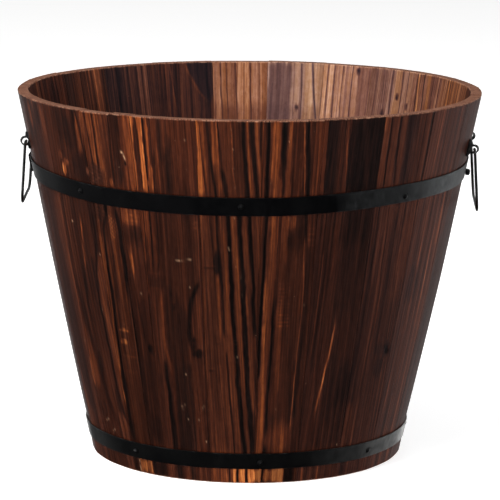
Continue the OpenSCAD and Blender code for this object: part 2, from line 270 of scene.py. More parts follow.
def outer_0(b):
    b.patch(.50, 0, .24, 0, .19, k=.6, cool=.2)
    b.blob(.32, .44, .045, .17, .05, cool=.45).blob(.28, .66, .07, .14, .05, cool=.8).blob(.27, .78, .155, .15, .04, cool=.85)
    b.blob(.66, .87, .075, .05, .05, cool=.1, k=.8)
    b.ripple(.50, .22, .6, .075, .15, period=3.2, k=.7, cool=.3, slant=-.35)
    b.blob(.95, .345, .172, .05, .022, cool=.0, k=.95).blob(.78, .42, .152, .08, .012, cool=.1, k=.8).blob(.7, .30, .135, .08, .01, cool=.1, k=.6)
    b.line(.12, 1.3, [(.885, 0), (.925, .04), (.955, .1), (.965, .15), (.95, .2)], cool=.4)
    b.line(.72, 1.3, [(.985, 0), (.985, .09)], cool=.2, k=.7)
    b.line(.52, 6, [(.22, .25), (.14, .33), (.12, .42), (.10, .52)], k=.55, cool=.35, fade=.08)
    b.line(.36, 4, [(.12, .25), (.02, .33)], k=.6, cool=.7)
    b.ripple(.62, .44, .75, .255, .33, period=3.0, k=.5, cool=.2, slant=.4)
    b.line(.84, 2.0, [(.58, .30), (.55, .34), (.50, .385), (.475, .43)], cool=.0, jag=.5, fade=.05, k=.85)
    b.line(.30, 3.5, [(.47, .26), (.43, .33), (.42, .40)], k=.5, cool=.5, fade=.06)
    b.blob(.15, .385, .48, .035, .045, cool=.6).line(.22, 2.5, [(.40, .42), (.36, .5), (.33, .56)], k=.6, cool=.6, fade=.06)
    b.line(.60, 7.5, [(1.0, .31), (.95, .40), (.89, .5), (.90, .6), (.93, .7), (.96, .82)], cool=.15, k=.75, fade=.08)
    b.line(.11, 2.6, [(.95, .28), (.90, .36), (.83, .41), (.77, .47), (.745, .53), (.765, .59), (.79, .65), (.815, .71), (.83, .76), (.88, .81), (.93, .85)],
           cool=.75, jag=.35, k=.92)
    b.blob(.22, .72, .455, .05, .05, cool=.95, k=.7)
    b.line(.24, 5.5, [(.03, .48), (.12, .55), (.20, .62), (.28, .69), (.38, .76), (.47, .82), (.56, .87)], cool=.4, k=.75, fade=.08)
    b.blob(.66, .13, .725, .13, .055, cool=.05, k=.85).blob(.58, .05, .66, .08, .05, cool=.1, k=.6)
    b.blob(.24, .40, .70, .08, .03, cool=.9, k=.7)
    b.line(.55, 5.0, [(.58, .67), (.61, .73), (.60, .79), (.66, .855)], cool=.3, k=.7, fade=.06)
    b.blob(.24, .79, .80, .09, .04, cool=.9, k=.75).blob(.30, .13, .84, .16, .025, cool=.6, k=.7)
    b.blob(.56, .86, .875, .14, .02, cool=.2, k=.6)
    b.line(.45, 3, [(.05, .80), (.28, .86)], k=.6, cool=.5)
    b.patch(.16, .86, 1, .12, .39, k=.6, cool=.4, sx=2)
    b.scratch([(.27, .317), (.33, .313)], .9).speck(.965, .392).scratch([(.2, .874), (.29, .87)], .8, .6)
    b.scratch([(.37, .902), (.47, .896)], 1.0, .6).speck(.775, .547, .9).speck(.37, .668, .8, .5)
    b.blob(.70, .975, .165, .03, .012, cool=.8, k=.8)
    b.patch(.40, 0, 1, .955, 1, k=.5, cool=.6)


def outer_1(b):
    b.patch(.70, .22, .40, 0, .165, cool=.1, k=.8).patch(.72, .48, .62, 0, .16, cool=.1, k=.8).patch(.62, 0, .14, 0, .13, cool=.15, k=.7)
    b.patch(.52, .64, .92, 0, .19, cool=.2, k=.6)
    b.line(.18, 1.0, [(.165, 0), (.18, .05), (.20, .10), (.235, .15)], cool=.4).line(.14, 1.4, [(.435, 0), (.43, .06), (.42, .12), (.41, .17)], cool=.5)
    b.line(.20, 1.7, [(.985, 0), (.96, .06), (.94, .12), (.92, .19)], cool=.5)
    b.line(.70, .8, [(.56, .022), (.72, .024)], cool=.4, k=.6).blob(.86, .24, .03, .06, .04, cool=.0, k=.6)
    b.patch(.66, .02, .12, .33, .51, cool=.05, k=.8, sx=1.5, sy=8)
    b.blob(.33, .22, .172, .34, .03, cool=.95, k=.9).ripple(.74, .0, .55, .145, .195, period=3.6, k=.65, cool=.8, slant=-.5)
    b.blob(.88, .815, .187, .055, .012, cool=.0, k=.9)
    b.blob(.30, .22, .265, .34, .035, cool=.8, k=.85).ripple(.80, .0, .45, .245, .30, period=3.4, k=.6, cool=.75, slant=-.35)
    b.blob(.10, .46, .262, .06, .02, cool=.4, k=.8)
    b.line(.88, 1.7, [(.235, .315), (.175, .35), (.155, .41), (.135, .47), (.11, .53), (.075, .59), (.055, .66), (.04, .74), (.03, .8)], cool=.0, k=.92)
    b.line(.09, 2.2, [(.36, .29), (.25, .325), (.225, .38), (.215, .46), (.20, .54), (.155, .6), (.155, .67), (.185, .72), (.17, .79), (.14, .85), (.2, .91)],
           cool=.7, jag=.3)
    b.blob(.58, .70, .39, .13, .075, cool=.05, k=.75).blob(.56, .37, .41, .10, .06, cool=.1, k=.7)
    b.line(.24, 2.0, [(.50, .37), (.48, .45), (.46, .52)], k=.7, cool=.6, fade=.05)
    b.ripple(.92, .50, .86, .275, .345, period=3.2, k=.75, cool=.4, slant=.9)
    b.line(.10, 3.2, [(.82, .26), (.88, .31), (.90, .37), (.93, .43), (.96, .5)], cool=.6, k=.9)
    b.ripple(.55, .28, .98, .55, .725, period=3.9, k=.55, cool=.3, sharp=3.0)
    b.blob(.84, .50, .595, .22, .005, cool=.1, k=.85, rough=.12).blob(.82, .45, .627, .16, .008, cool=.1, k=.9, rough=.12)
    b.blob(.62, .6, .668, .3, .0035, cool=.3, k=.8, rough=.1).blob(.55, .55, .71, .3, .0035, cool=.3, k=.6, rough=.1)
    b.blob(.12, .14, .755, .12, .045, cool=.85, k=.8).blob(.24, .16, .87, .14, .03, cool=.8, k=.7)
    b.patch(.42, .3, .92, .75, .912, k=.5, cool=.15)
    b.line(.64, .9, [(.94, .46), (.915, .55), (.93, .66), (.96, .75), (.97, .86)], cool=.5, k=.7)
    b.line(.2, 1.0, [(.985, .5), (.985, .9)], cool=.5, k=.7)
    b.scratch([(.30, .955), (.315, .975), (.325, .995)], 1.0, .8).patch(.86, .34, 1, .955, 1, cool=.05, k=.9).patch(.22, 0, .28, .955, 1, cool=.5, k=.8)


def outer_2(b):
    b.blob(.22, .22, .05, .22, .12, cool=.3, k=.85).patch(.60, .52, 1, 0, .2, cool=.05, k=.82, sx=2).patch(.54, .36, .50, .05, .18, cool=.1, k=.6, sx=1.5).patch(.72, .86, 1, .0, .2, cool=.0, k=.7, sx=1)
    b.line(.28, 1.1, [(.46, 0), (.40, .07), (.33, .13), (.28, .19)], cool=.1).blob(.28, .15, .16, .2, .035, cool=.85, k=.8)
    b.scratch([(.40, .100), (.50, .104), (.58, .120)], 1.0, 1.8)
    b.blob(.04, .57, .131, .05, .006, cool=.3, k=.95, rough=.1)
    b.patch(.66, 0, 1, .245, .298, cool=.1, k=.75, sy=3)
    b.ripple(.85, .2, 1, .262, .295, period=3.7, k=.7, cool=.3, sharp=3)
    b.patch(.20, .05, .98, .300, .350, cool=.4, k=.6, sx=3, sy=12, jag=1.6)
    b.patch(.50, .3, 1, .355, .50, cool=.2, k=.7, sy=6).blob(.68, .28, .405, .12, .03, cool=.0, k=.8)
    b.line(.24, 1.2, [(.12, .36), (.22, .42), (.34, .49), (.46, .56), (.52, .62)], cool=.3, k=.8)
    b.blob(.05, .76, .634, .11, .010, cool=.4, k=.95, rough=.3).blob(.16, .9, .64, .2, .012, cool=.5, k=.6)
    b.patch(.30, 0, 1, .66, .915, cool=.5, k=.55, sy=14)
    b.ripple(.60, .1, .9, .755, .825, period=4.2, k=.35, cool=.8, slant=.9)
    b.blob(.24, .65, .865, .4, .035, cool=.5, k=.6)
    b.line(.50, .8, [(.97, .34), (.965, .5), (.97, .7), (.965, .9)], cool=.6, k=.6)
    b.speck(.62, .482, .8, .6).speck(.97, .012, 1.0, .7)
    b.patch(.2, 0, 1, .955, 1, cool=.8, k=.8)


def outer_3(b):
    b.patch(.50, .62, 1, 0, .2, k=.5, cool=.2).patch(.26, .50, .64, .05, .40, k=.45, cool=.4, sx=3)
    for x, v, w in ((.045, .2, .6), (.075, .3, .5), (.10, .12, .9), (.20, .10, 1.1), (.305, .22, .7)):
        b.line(v, w, [(x, 0), (x + .005, .1), (x - .005, .2)], cool=.4, fade=.02)
    b.patch(.86, .105, .185, 0, .2, cool=.0, k=.88).patch(.80, .215, .285, 0, .2, cool=.0, k=.85).patch(.88, 0, .05, 0, .2, cool=.05, k=.85)
    # painted highlight: a bright line down the left edge stands for light caught on the rounded arris of the joint
    b.line(.98, .8, [(.012, 0), (.012, .1), (.012, .2)], cool=.2, k=.8, ends=(0, 0))
    b.patch(.56, .31, .40, 0, .2, cool=.05, k=.6)
    b.line(.22, 1.2, [(.35, .09), (.32, .14), (.30, .2)], cool=.5, k=.8)
    b.line(.28, 4.5, [(.44, 0), (.44, .06), (.46, .12)], cool=.8, k=.75, fade=.05)
    b.line(.62, 1.8, [(.50, 0), (.505, .05), (.51, .09)], cool=.1, k=.7)
    b.line(.24, 1.5, [(.55, 0), (.54, .06)], cool=.7, k=.6)
    b.line(.20, 4.6, [(.56, .07), (.55, .13), (.53, .2)], cool=.75, k=.85, fade=.04)
    b.speck(.83, .055, .9, .6)
    # below the upper hoop
    b.patch(.44, .40, 1, .24, .9, k=.35, cool=.45)
    b.patch(.66, .09, .155, .24, .42, cool=.0, k=.75, sy=12).patch(.64, .195, .262, .24, .40, cool=.0, k=.75, sy=14).patch(.74, .0, .05, .24, .48, cool=.0, k=.8)
    for x, v, w, e in ((.065, .22, .7, .44), (.168, .12, 1.0, .42), (.285, .10, 1.2, .41)):
        b.line(v, w, [(x, .24), (x - .005, .33), (x - .025, e)], cool=.4)
    b.ripple(.74, .0, .36, .415, .465, period=4.4, k=.35, cool=.2, sharp=3).patch(.26, .02, .36, .43, .462, k=.45, cool=.5, sy=4)
    b.scratch([(.565, .3825), (.70, .380), (.835, .375)], .7, .45).ripple(.5, .2, .6, .375, .395, period=3, k=.4)
    b.ripple(.7, .88, .98, .27, .292, period=2.6, k=.9, cool=.6)
    b.line(.66, 3.0, [(.265, .475), (.235, .53), (.235, .59), (.26, .645), (.315, .70)], cool=.05, k=.85, fade=.05)
    b.line(.30, 1.1, [(.17, .48), (.14, .56), (.13, .64), (.17, .72)], cool=.3, k=.7).line(.27, 1.4, [(.07, .5), (.05, .6), (.1, .7)], cool=.4, k=.6)
    b.line(.56, 1.6, [(.11, .5), (.1, .6), (.13, .68)], cool=.05, k=.6)
    b.blob(.25, .43, .56, .12, .10, cool=.55, k=.7).blob(.26, .60, .60, .12, .08, cool=.75, k=.6)
    b.ripple(.42, .40, .56, .495, .525, period=3, k=.6).blob(.16, .48, .512, .035, .009, k=.6)
    b.blob(.56, .885, .545, .085, .075, cool=.15, k=.8)
    b.line(.11, 3.0, [(.955, .435), (.88, .455), (.80, .49), (.74, .54), (.725, .58), (.75, .615)], cool=.6, jag=.3, k=.85)
    b.blob(.10, .86, .636, .11, .011, cool=.5, k=.85).blob(.12, .78, .62, .05, .014, cool=.5, k=.75)
    b.knot(.79, .60, 1.1, v=.12)
    b.line(.28, 2.2, [(.085, .70), (.09, .78), (.08, .86), (.09, .91)], cool=.6, k=.75)
    b.line(.09, 3.2, [(.195, .67), (.215, .73), (.235, .79), (.245, .85), (.25, .92)], cool=.65, k=.92)
    b.line(.50, 2.0, [(.33, .66), (.34, .75), (.35, .84), (.35, .91)], cool=.15, k=.6)
    b.line(.48, 1.8, [(.15, .72), (.16, .82), (.165, .91)], cool=.15, k=.6)
    b.patch(.235, .385, .725, .665, .93, cool=.85, k=.85, sx=1.4, sy=12)
    b.patch(.50, .74, .955, .67, .93, cool=.2, k=.65, sx=1.0, sy=14)
    b.line(.64, .9, [(.955, .25), (.958, .45), (.95, .6), (.955, .76)], cool=.4, k=.75)
    b.line(.62, .8, [(.95, .78), (.95, .91)], cool=.5, k=.4)
    b.line(.14, .7, [(.975, .24), (.975, .9)], cool=.5, k=.6)
    for x, t in ((.48, .79), (.53, .785), (.58, .825), (.8, .825), (.89, .79), (.92, .785), (.93, .885), (.60, .697), (.78, .452)):
        b.speck(x, t, .9, .55)
    b.scratch([(.45, .785), (.49, .80)], .6, .4)
    b.patch(.50, 0, .22, .955, 1, k=.7, cool=.4).patch(.18, .24, .34, .955, 1, k=.8, cool=.9).patch(.48, .36, .52, .955, 1, cool=.3)
    b.patch(.24, .55, .68, .955, 1, k=.8, cool=.9).patch(.52, .72, 1, .955, 1, k=.7, cool=.4)


def outer_4(b):
    b.patch(.82, .0, .14, 0, .2, cool=.0, k=.75, sx=1.5).patch(.74, .22, .34, 0, .12, cool=.0, k=.75, sx=1.5).patch(.42, .40, .66, 0, .2, cool=.15, k=.6)
    b.line(.66, 3.5, [(.26, 0), (.30, .1), (.345, .19)], cool=.0, k=.7)
    b.line(.66, 3.0, [(.08, 0), (.1, .1), (.13, .19)], cool=.0, k=.6)
    b.line(.12, 1.8, [(.165, 0), (.19, .06), (.22, .12), (.255, .17), (.28, .21)], cool=.5)
    b.line(.20, .7, [(.05, 0), (.08, .1), (.12, .2)], cool=.3, k=.8).line(.24, .7, [(.1, .1), (.13, .2)], cool=.3, k=.7)
    b.line(.15, 1.0, [(.325, 0), (.35, .06), (.38, .12)], cool=.4).line(.06, 3.0, [(.38, .13), (.42, .165), (.455, .21)], cool=.4)
    b.line(.84, .8, [(.525, 0), (.545, .06), (.565, .12), (.60, .2)], cool=.0, k=.6, jag=1.0)
    for k in range(11):
        b.speck(.53 + .0055 * k + .006 * math.sin(5.3 * k), .008 + .017 * k, .5, .55)
    b.line(.36, 2.0, [(.62, 0), (.66, .1), (.70, .2)], cool=.4, k=.5)
    b.line(.06, 3.2, [(.70, 0), (.735, .08), (.765, .15), (.79, .22)], cool=.5).line(.66, 2.2, [(.76, 0), (.80, .1), (.84, .2)], cool=.0, k=.75)
    b.line(.06, 3.4, [(.825, 0), (.87, .08), (.91, .15), (.94, .22)], cool=.6).line(.60, 2.0, [(.90, 0), (.93, .06), (.97, .13)], cool=.1, k=.6)
    b.line(.1, 1.6, [(.97, 0), (.985, .1)], cool=.4, k=.8)
    # below the upper hoop
    b.line(.66, 4.6, [(.54, .25), (.58, .36), (.61, .48), (.65, .58), (.69, .68), (.75, .8), (.82, .92)], cool=.05, k=.7)
    b.line(.66, 3.6, [(.74, .25), (.78, .36), (.81, .48), (.85, .58), (.88, .68), (.92, .8)], cool=.1, k=.75)
    b.line(.64, 3.6, [(.40, .3), (.43, .4), (.455, .5), (.48, .58)], cool=.0, k=.7)
    b.line(.74, 2.4, [(.29, .42), (.30, .48), (.31, .54), (.33, .59)], cool=.0, k=.85)
    b.line(.60, 4.0, [(.46, .62), (.51, .7), (.56, .78), (.62, .88), (.64, .92)], cool=.1, k=.6)
    b.line(.16, 1.5, [(.27, .24), (.285, .30), (.31, .36)], cool=.5).line(.13, 1.7, [(.31, .36), (.335, .44), (.355, .5), (.37, .58)], cool=.5)
    b.blob(.10, .265, .385, .05, .035, cool=.95, k=.85)
    b.line(.20, .8, [(.15, .24), (.2, .34), (.22, .46), (.26, .56)], cool=.2, k=.7)
    b.line(.04, 3.0, [(.44, .24), (.465, .30), (.485, .36), (.50, .42), (.52, .48), (.545, .54), (.57, .60), (.60, .67), (.635, .74), (.675, .81), (.72, .87), (.76, .93)],
           cool=.35, jag=.3, k=.97)
    b.line(.07, 3.4, [(.635, .24), (.66, .31), (.69, .39), (.72, .46), (.745, .52), (.765, .58), (.785, .65), (.815, .72), (.85, .79), (.89, .86), (.91, .92)],
           cool=.7, jag=.35, k=.93)
    b.line(.05, 2.8, [(.795, .24), (.825, .31), (.86, .38), (.89, .45), (.92, .52), (.945, .58)], cool=.4, jag=.3, k=.93)
    b.line(.55, 1.4, [(.355, .33), (.39, .31), (.41, .29)], cool=.4, k=.5)
    b.ripple(.50, .25, .62, .575, .66, period=3.8, k=.5, cool=.2)
    b.patch(.44, 0, .26, .62, .91, cool=.25, k=.5, sx=3)
    b.line(.15, 1.4, [(.40, .63), (.43, .70), (.47, .77), (.515, .84), (.55, .92)], cool=.2, k=.9)
    b.line(.24, 1.0, [(.20, .58), (.24, .67), (.31, .78), (.38, .89)], cool=.3, k=.7)
    b.line(.57, 1.5, [(.27, .66), (.32, .75), (.38, .85)], cool=.1, k=.6)
    for x0, x1, t in ((.03, .27, .395), (.05, .20, .68), (.19, .33, .785), (.13, .3, .602)):
        b.patch(.20, x0, x1, t, t + .004, k=.6, sy=1.5, jag=.3).patch(.66, x0 + .02, x1 - .03, t - .005, t - .002, k=.4, sy=1.5, jag=.3)
    b.line(.28, 1.8, [(.985, .40), (.985, .65)], cool=.0, k=.8).line(.2, 1.2, [(.97, .65), (.97, .9)], cool=.3, k=.6)
    for x, t in ((.48, .345), (.595, .39), (.68, .42), (.57, .26), (.47, .34), (.7, .47), (.61, .64)):
        b.speck(x, t, .8, .5)
    b.patch(.62, 0, .5, .955, 1, cool=.15, k=.7).patch(.98, .5, 1, .955, 1, cool=.1, k=.9)
    b.line(.1, 1.8, [(.60, .955), (.605, 1.0)], cool=.3, ends=(1, 0)).line(.12, 2.0, [(.80, .955), (.81, 1.0)], cool=.3, ends=(1, 0))
    b.line(.2, 1.0, [(.42, .955), (.425, 1.0)], cool=.2, ends=(1, 0))


def outer_5(b):
    b.patch(.24, .68, .80, .12, .22, k=.6, cool=.3, sx=2).patch(.64, .89, 1, 0, .2, k=.8, cool=.0, sx=1.2)
    b.line(.66, 9.0, [(.22, 0), (.23, .12), (.225, .25), (.205, .38), (.185, .5), (.15, .62), (.125, .74), (.09, .86), (.07, .92)], cool=.0, k=.85, p=5)
    b.patch(.66, 0, .06, 0, .3, cool=.0, k=.7).patch(.54, 0, .05, .25, .5, cool=.0, k=.5)
    b.line(.05, 2.3, [(.10, 0), (.105, .1), (.10, .2), (.09, .3), (.075, .4), (.055, .5), (.035, .6), (.02, .7)], cool=.6, k=.97)
    b.line(.05, 4.0, [(.355, 0), (.36, .06), (.37, .12)], cool=.95, k=.97, fade=.05).line(.10, 2.0, [(.375, .10), (.38, .15), (.38, .2)], cool=.5)
    b.line(.64, 2.6, [(.45, 0), (.455, .1), (.46, .2), (.465, .3), (.48, .38)], cool=.0, k=.8)
    b.line(.22, .9, [(.335, .24), (.325, .33), (.315, .42)], cool=.2, k=.85).line(.10, 2.6, [(.30, .49), (.29, .54), (.285, .60)], cool=.3, k=.92, fade=.05)
    b.line(.50, 3.0, [(.37, .25), (.38, .35), (.37, .44)], cool=.1, k=.6)
    b.line(.09, 2.4, [(.275, .60), (.25, .68), (.225, .75), (.20, .83), (.18, .92)], cool=.6, k=.95)
    b.line(.70, .7, [(.245, .62), (.215, .72), (.18, .83), (.165, .91)], cool=.1, k=.5)
    b.patch(.36, .50, .67, 0, .2, cool=.1, k=.7).patch(.40, .5, .78, .335, .85, cool=.25, k=.6, sx=2)
    b.blob(.70, .58, .272, .12, .020, cool=.0, k=.8).patch(.18, .50, .765, .300, .345, cool=.3, k=.65, sx=2.5, sy=12, jag=1.6)
    b.patch(.22, .62, .76, .25, .31, k=.8, cool=.6)
    b.line(.60, 5.5, [(.37, .5), (.41, .58), (.42, .66), (.40, .74), (.36, .8)], cool=.0, k=.75)
    b.line(.07, 3.4, [(.715, 0), (.75, .07), (.78, .13), (.81, .21)], cool=.5, k=.93).line(.78, .9, [(.665, 0), (.70, .08), (.73, .15), (.75, .2)], cool=.3, k=.85)
    b.patch(.56, .86, 1, 0, .2, cool=.15, k=.7)
    b.line(.12, 3.4, [(.79, .24), (.80, .29), (.81, .33)], cool=.5, k=.85)
    b.line(.20, 5.0, [(.87, .34), (.90, .42), (.91, .50), (.885, .58), (.86, .66), (.84, .74), (.83, .82)], cool=.65, k=.8)
    b.line(.74, .8, [(.80, .31), (.815, .38), (.84, .44), (.845, .50), (.83, .56), (.81, .62), (.795, .70), (.78, .78), (.765, .85)], cool=.3, k=.85)
    b.line(.34, 1.0, [(.82, .35), (.86, .47), (.84, .58), (.81, .7)], cool=.1, k=.6)
    b.patch(.42, .92, 1, .24, .5, cool=.3, k=.6).ripple(.8, .88, 1, .285, .345, period=4.8, k=.7, cool=.5, sharp=4)
    b.line(.3, 2.4, [(.97, .5), (.97, .9)], cool=.5, k=.6)
    b.ripple(.78, .37, .60, .435, .56, period=3.1, k=.8, cool=.15, sharp=1.6)
    b.ripple(.6, .5, .75, .69, .705, period=3, k=.7)
    b.blob(.66, .46, .875, .26, .045, cool=.0, k=.8).patch(.58, .3, .75, .83, .92, cool=.0, k=.4, sx=3, sy=12)
    b.patch(.30, .80, 1, .82, .92, cool=.3, k=.6)
    for k in range(7):
        b.speck(.43 + .006 * (k % 3), .012 + .011 * k, .45, .6)
    b.speck(.51, .262, .8, .6).speck(.88, .5, .8, .4).speck(.42, .787, .7, .6)
    b.patch(.96, 0, .68, .955, 1, cool=.1, k=.92).line(.1, 1.6, [(.165, .955), (.15, 1.0)], cool=.3, ends=(1, 0))
    b.patch(.14, .70, .92, .955, 1, cool=.9, k=.85).patch(.5, .93, 1, .955, 1, cool=.2)


def outer_6(b):
    b.patch(.62, 0, .068, 0, .2, cool=.0, k=.85).line(.06, 1.0, [(.083, 0), (.085, .2)], cool=.5)
    b.patch(.13, .09, .25, 0, .2, cool=.95, k=.9).line(.3, .8, [(.165, 0), (.17, .1), (.18, .2)], cool=.5, k=.6).line(.34, .8, [(.24, 0), (.245, .2)], cool=.3, k=.6)
    b.patch(.44, .265, .43, 0, .2, cool=.35, k=.8)
    b.line(.72, .9, [(.385, .01), (.39, .07), (.415, .12), (.435, .18)], cool=.1, k=.9).line(.14, .7, [(.335, 0), (.35, .1), (.36, .2)], cool=.4, k=.8)
    b.line(.6, .9, [(.30, .02), (.30, .1), (.31, .18)], cool=.1, k=.7).line(.22, .7, [(.41, .0), (.425, .08)], cool=.3)
    b.patch(.11, .445, 1.0, 0, .2, cool=.8, k=.93, sx=1.0)
    b.line(.26, 4.0, [(.67, 0), (.71, .07), (.75, .13), (.80, .2)], cool=.6, k=.7).line(.2, 1.5, [(.88, 0), (.9, .2)], cool=.8, k=.6)
    b.patch(.42, 0, .42, .24, .92, cool=.25, k=.55, sx=4)
    for x, w, v in ((.07, .8, .2), (.13, 1.0, .16), (.20, .8, .24), (.285, 1.0, .22), (.345, .7, .26)):
        b.line(v, w, [(x + .03, .24), (x + .02, .34), (x, .45), (x - .03, .57), (x - .055, .68)], cool=.3, k=.75)
    b.line(.54, 1.0, [(.165, .36), (.15, .45), (.125, .54), (.095, .62), (.05, .70)], cool=.2, k=.8).line(.54, 1.4, [(.35, .26), (.36, .33), (.35, .42)], cool=.05, k=.7)
    b.patch(.20, .42, 1, .24, .34, cool=.75, k=.7, sy=14).line(.42, 1.0, [(.53, .27), (.56, .33), (.60, .38)], cool=.3, k=.7)
    b.patch(.30, .45, 1, .34, .9, cool=.75, k=.6, sx=4)
    b.line(.45, 1.2, [(.34, .57), (.31, .65), (.25, .75)], cool=.2, k=.6).line(.44, 1.0, [(.25, .58), (.2, .7), (.14, .82)], cool=.2, k=.6)
    b.line(.92, 1.5, [(.525, .56), (.495, .605), (.465, .645), (.42, .69), (.375, .735), (.335, .775), (.30, .805)], cool=.05, k=.85, jag=.25, fade=.08, p=2)
    b.line(.58, 2.6, [(.28, .82), (.255, .86), (.235, .92)], cool=.1, k=.75)
    b.blob(.18, .86, .725, .17, .055, cool=.85, k=.5).blob(.37, .72, .60, .14, .07, cool=.4, k=.6).blob(.17, .75, .77, .08, .03, cool=.7, k=.6)
    b.patch(.40, .1, .6, .83, .92, cool=.1, k=.4, sx=5)
    b.ripple(.52, .0, .15, .365, .375, period=3, k=.6).ripple(.52, .27, .36, .298, .306, period=3, k=.6).speck(.92, .905, .8, .4)
    b.patch(.42, 0, 1, .955, 1, cool=.5, k=.5).line(.62, 2, [(.15, .955), (.15, 1)], cool=.1, ends=(1, 0)).line(.55, 2, [(.5, .955), (.5, 1)], cool=.3, ends=(1, 0))


def outer_7(b):
    b.patch(.56, 0, .10, 0, .19, cool=.05, k=.8).patch(.54, .145, .275, 0, .19, cool=.15, k=.75).patch(.46, .33, .43, 0, .19, cool=.2, k=.7)
    b.line(.10, 1.5, [(.12, 0), (.125, .1), (.14, .19)], cool=.4, k=.95).line(.12, 2.0, [(.29, 0), (.30, .08), (.325, .14), (.345, .19)], cool=.6, k=.92)
    b.patch(.23, .455, .65, 0, .19, cool=1.0, k=.8, sx=2.5).patch(.40, .66, .93, 0, .19, cool=.3, k=.6, sx=3).line(.14, 1.6, [(.975, 0), (.975, .19)], cool=.1)
    b.line(.24, 1.6, [(.47, 0), (.5, .1), (.56, .19)], cool=.9, k=.7)
    b.line(.20, 1.5, [(.12, .24), (.135, .33), (.14, .42), (.13, .5), (.11, .58), (.09, .68), (.08, .8)], cool=.3, k=.85)
    b.line(.22, 1.5, [(.33, .24), (.345, .33), (.37, .42), (.39, .5), (.38, .58), (.345, .64), (.32, .72), (.3, .8)], cool=.3, k=.8)
    b.line(.48, 1.2, [(.20, .26), (.21, .38), (.2, .5)], cool=.3, k=.6).line(.46, 1.0, [(.42, .5), (.40, .58), (.37, .65)], cool=.3, k=.7)
    b.line(.44, 1.6, [(.06, .26), (.06, .4), (.05, .5)], cool=.1, k=.7)
    b.blob(.52, .84, .39, .15, .11, cool=.25, k=.7).blob(.28, .55, .36, .1, .1, cool=.7, k=.6)
    b.line(.48, .9, [(.66, .4), (.69, .48), (.73, .55), (.78, .6)], cool=.3, k=.6)
    b.blob(.28, .76, .648, .20, .020, cool=.9, k=.85).line(.5, .8, [(.60, .625), (.93, .628)], k=.0)
    b.knot(.86, .655, 2.5, v=.03, stretch=1.2).blob(.52, .92, .648, .03, .008, cool=.5, k=.5).blob(.08, .80, .643, .05, .006, k=.8, cool=.5)
    b.blob(.22, .70, .70, .12, .03, cool=.9, k=.7)
    b.blob(.50, .12, .86, .15, .06, cool=.0, k=.7).line(.46, 1.5, [(.34, .78), (.30, .86), (.26, .92)], cool=.4, k=.6)
    b.ripple(.7, .46, .56, .25, .275, period=3.4, k=.7, slant=1.0, cool=.1)
    b.line(.2, 1.2, [(.985, .24), (.985, .9)], cool=.2, k=.7).line(.18, 1.2, [(.012, .24), (.012, .9)], cool=.3, k=.5)


def outer_8(b):
    b.line(.24, 1.4, [(.42, 0), (.425, .1), (.43, .19)], cool=.1, k=.8).line(.52, 1.4, [(.08, 0), (.08, .1), (.1, .19)], cool=.4, k=.6)
    b.line(.28, 1.2, [(.25, .25), (.235, .33), (.22, .42)], cool=.2, k=.7).line(.28, 1.4, [(.48, .25), (.49, .34), (.45, .44)], cool=.1, k=.7)
    b.blob(.54, .88, .33, .11, .07, cool=.25, k=.65).blob(.28, .28, .48, .22, .05, cool=1.0, k=.6)
    b.line(.30, 1.2, [(.31, .55), (.38, .62), (.40, .7), (.44, .8)], cool=.3, k=.6).line(.48, 2, [(.22, .75), (.2, .85)], cool=.6, k=.5)
    b.blob(.50, .8, .57, .13, .04, cool=.2, k=.5)
    b.line(.2, 1.2, [(.985, .0), (.985, .9)], cool=.2, k=.5)


def outer_9(b):
    b.blob(.48, .2, .3, .15, .08, cool=.5, k=.5).blob(.32, .5, .62, .3, .1, cool=.9, k=.4).line(.3, 1.4, [(.3, .0), (.33, .3), (.3, .7)], cool=.4, k=.5)
    b.line(.3, 1.0, [(.6, .1), (.62, .5), (.6, .9)], cool=.4, k=.5)


def outer_22(b):
    b.line(.3, 1.4, [(.35, .25), (.38, .5), (.36, .9)], cool=.3, k=.5).line(.3, 1.2, [(.7, .0), (.7, .5), (.72, .9)], cool=.3, k=.5)
    b.blob(.54, .85, .1, .15, .08, cool=.3, k=.6)


def outer_23(b):
    b.patch(.27, .28, .68, .06, .62, cool=.6, k=.45, sx=4, sy=10).patch(.28, 0, .36, .30, .76, cool=.6, k=.4, sx=4, sy=12)
    b.blob(.64, .28, .045, .10, .035, cool=.1, k=.8).blob(.62, .90, .05, .07, .05, cool=.05, k=.7).blob(.28, .58, .05, .12, .035, cool=.9, k=.75)
    b.blob(.50, .82, .12, .15, .06, cool=.1, k=.6).blob(.5, .2, .14, .12, .03, cool=.2, k=.5)
    b.patch(.52, .62, 1, .25, .38, cool=.1, k=.6, sx=4, sy=10).patch(.38, 0, .4, .24, .6, cool=.35, k=.5, sx=6, sy=14)
    b.blob(.28, .45, .66, .35, .2, cool=.7, k=.6)
    b.line(.62, 3.4, [(.90, .38), (.91, .5), (.93, .6), (.92, .7)], cool=.1, k=.8, fade=.08).blob(.74, .97, .74, .05, .04, cool=.1, k=.85)
    b.line(.22, 1.2, [(.80, .5), (.82, .62), (.82, .75)], cool=.2, k=.6)
    b.speck(.9, .655, 1.0, .7).speck(.12, .24, .9, .5).speck(.76, .4, .8, .5)
    b.patch(.5, .2, 1, .86, .915, cool=.2, k=.5, sy=8)


def inner_20(b):
    b.blob(.24, .55, .07, .17, .06, cool=.7, k=.8).line(.24, 1.2, [(.93, 0), (.94, .3)], cool=.4).line(.24, 1, [(.25, .02), (.24, .3)], cool=.3, k=.6)


def inner_19(b):
    b.patch(.22, 0, .19, 0, 1, cool=.5, k=.85).patch(.42, .21, .57, 0, 1, cool=.05, k=.7).patch(.46, .62, .9, 0, 1, cool=.15, k=.6).patch(.2, .92, 1, 0, 1, cool=.4, k=.8)
    for x, v, w in ((.1, .12, 1.2), (.2, .12, .9), (.30, .2, .7), (.42, .14, 1.2), (.60, .14, 1.0)):
        b.line(v, w, [(x, 0), (x + .005, .2), (x, .6), (x, 1)], cool=.3, ends=(0, 0))


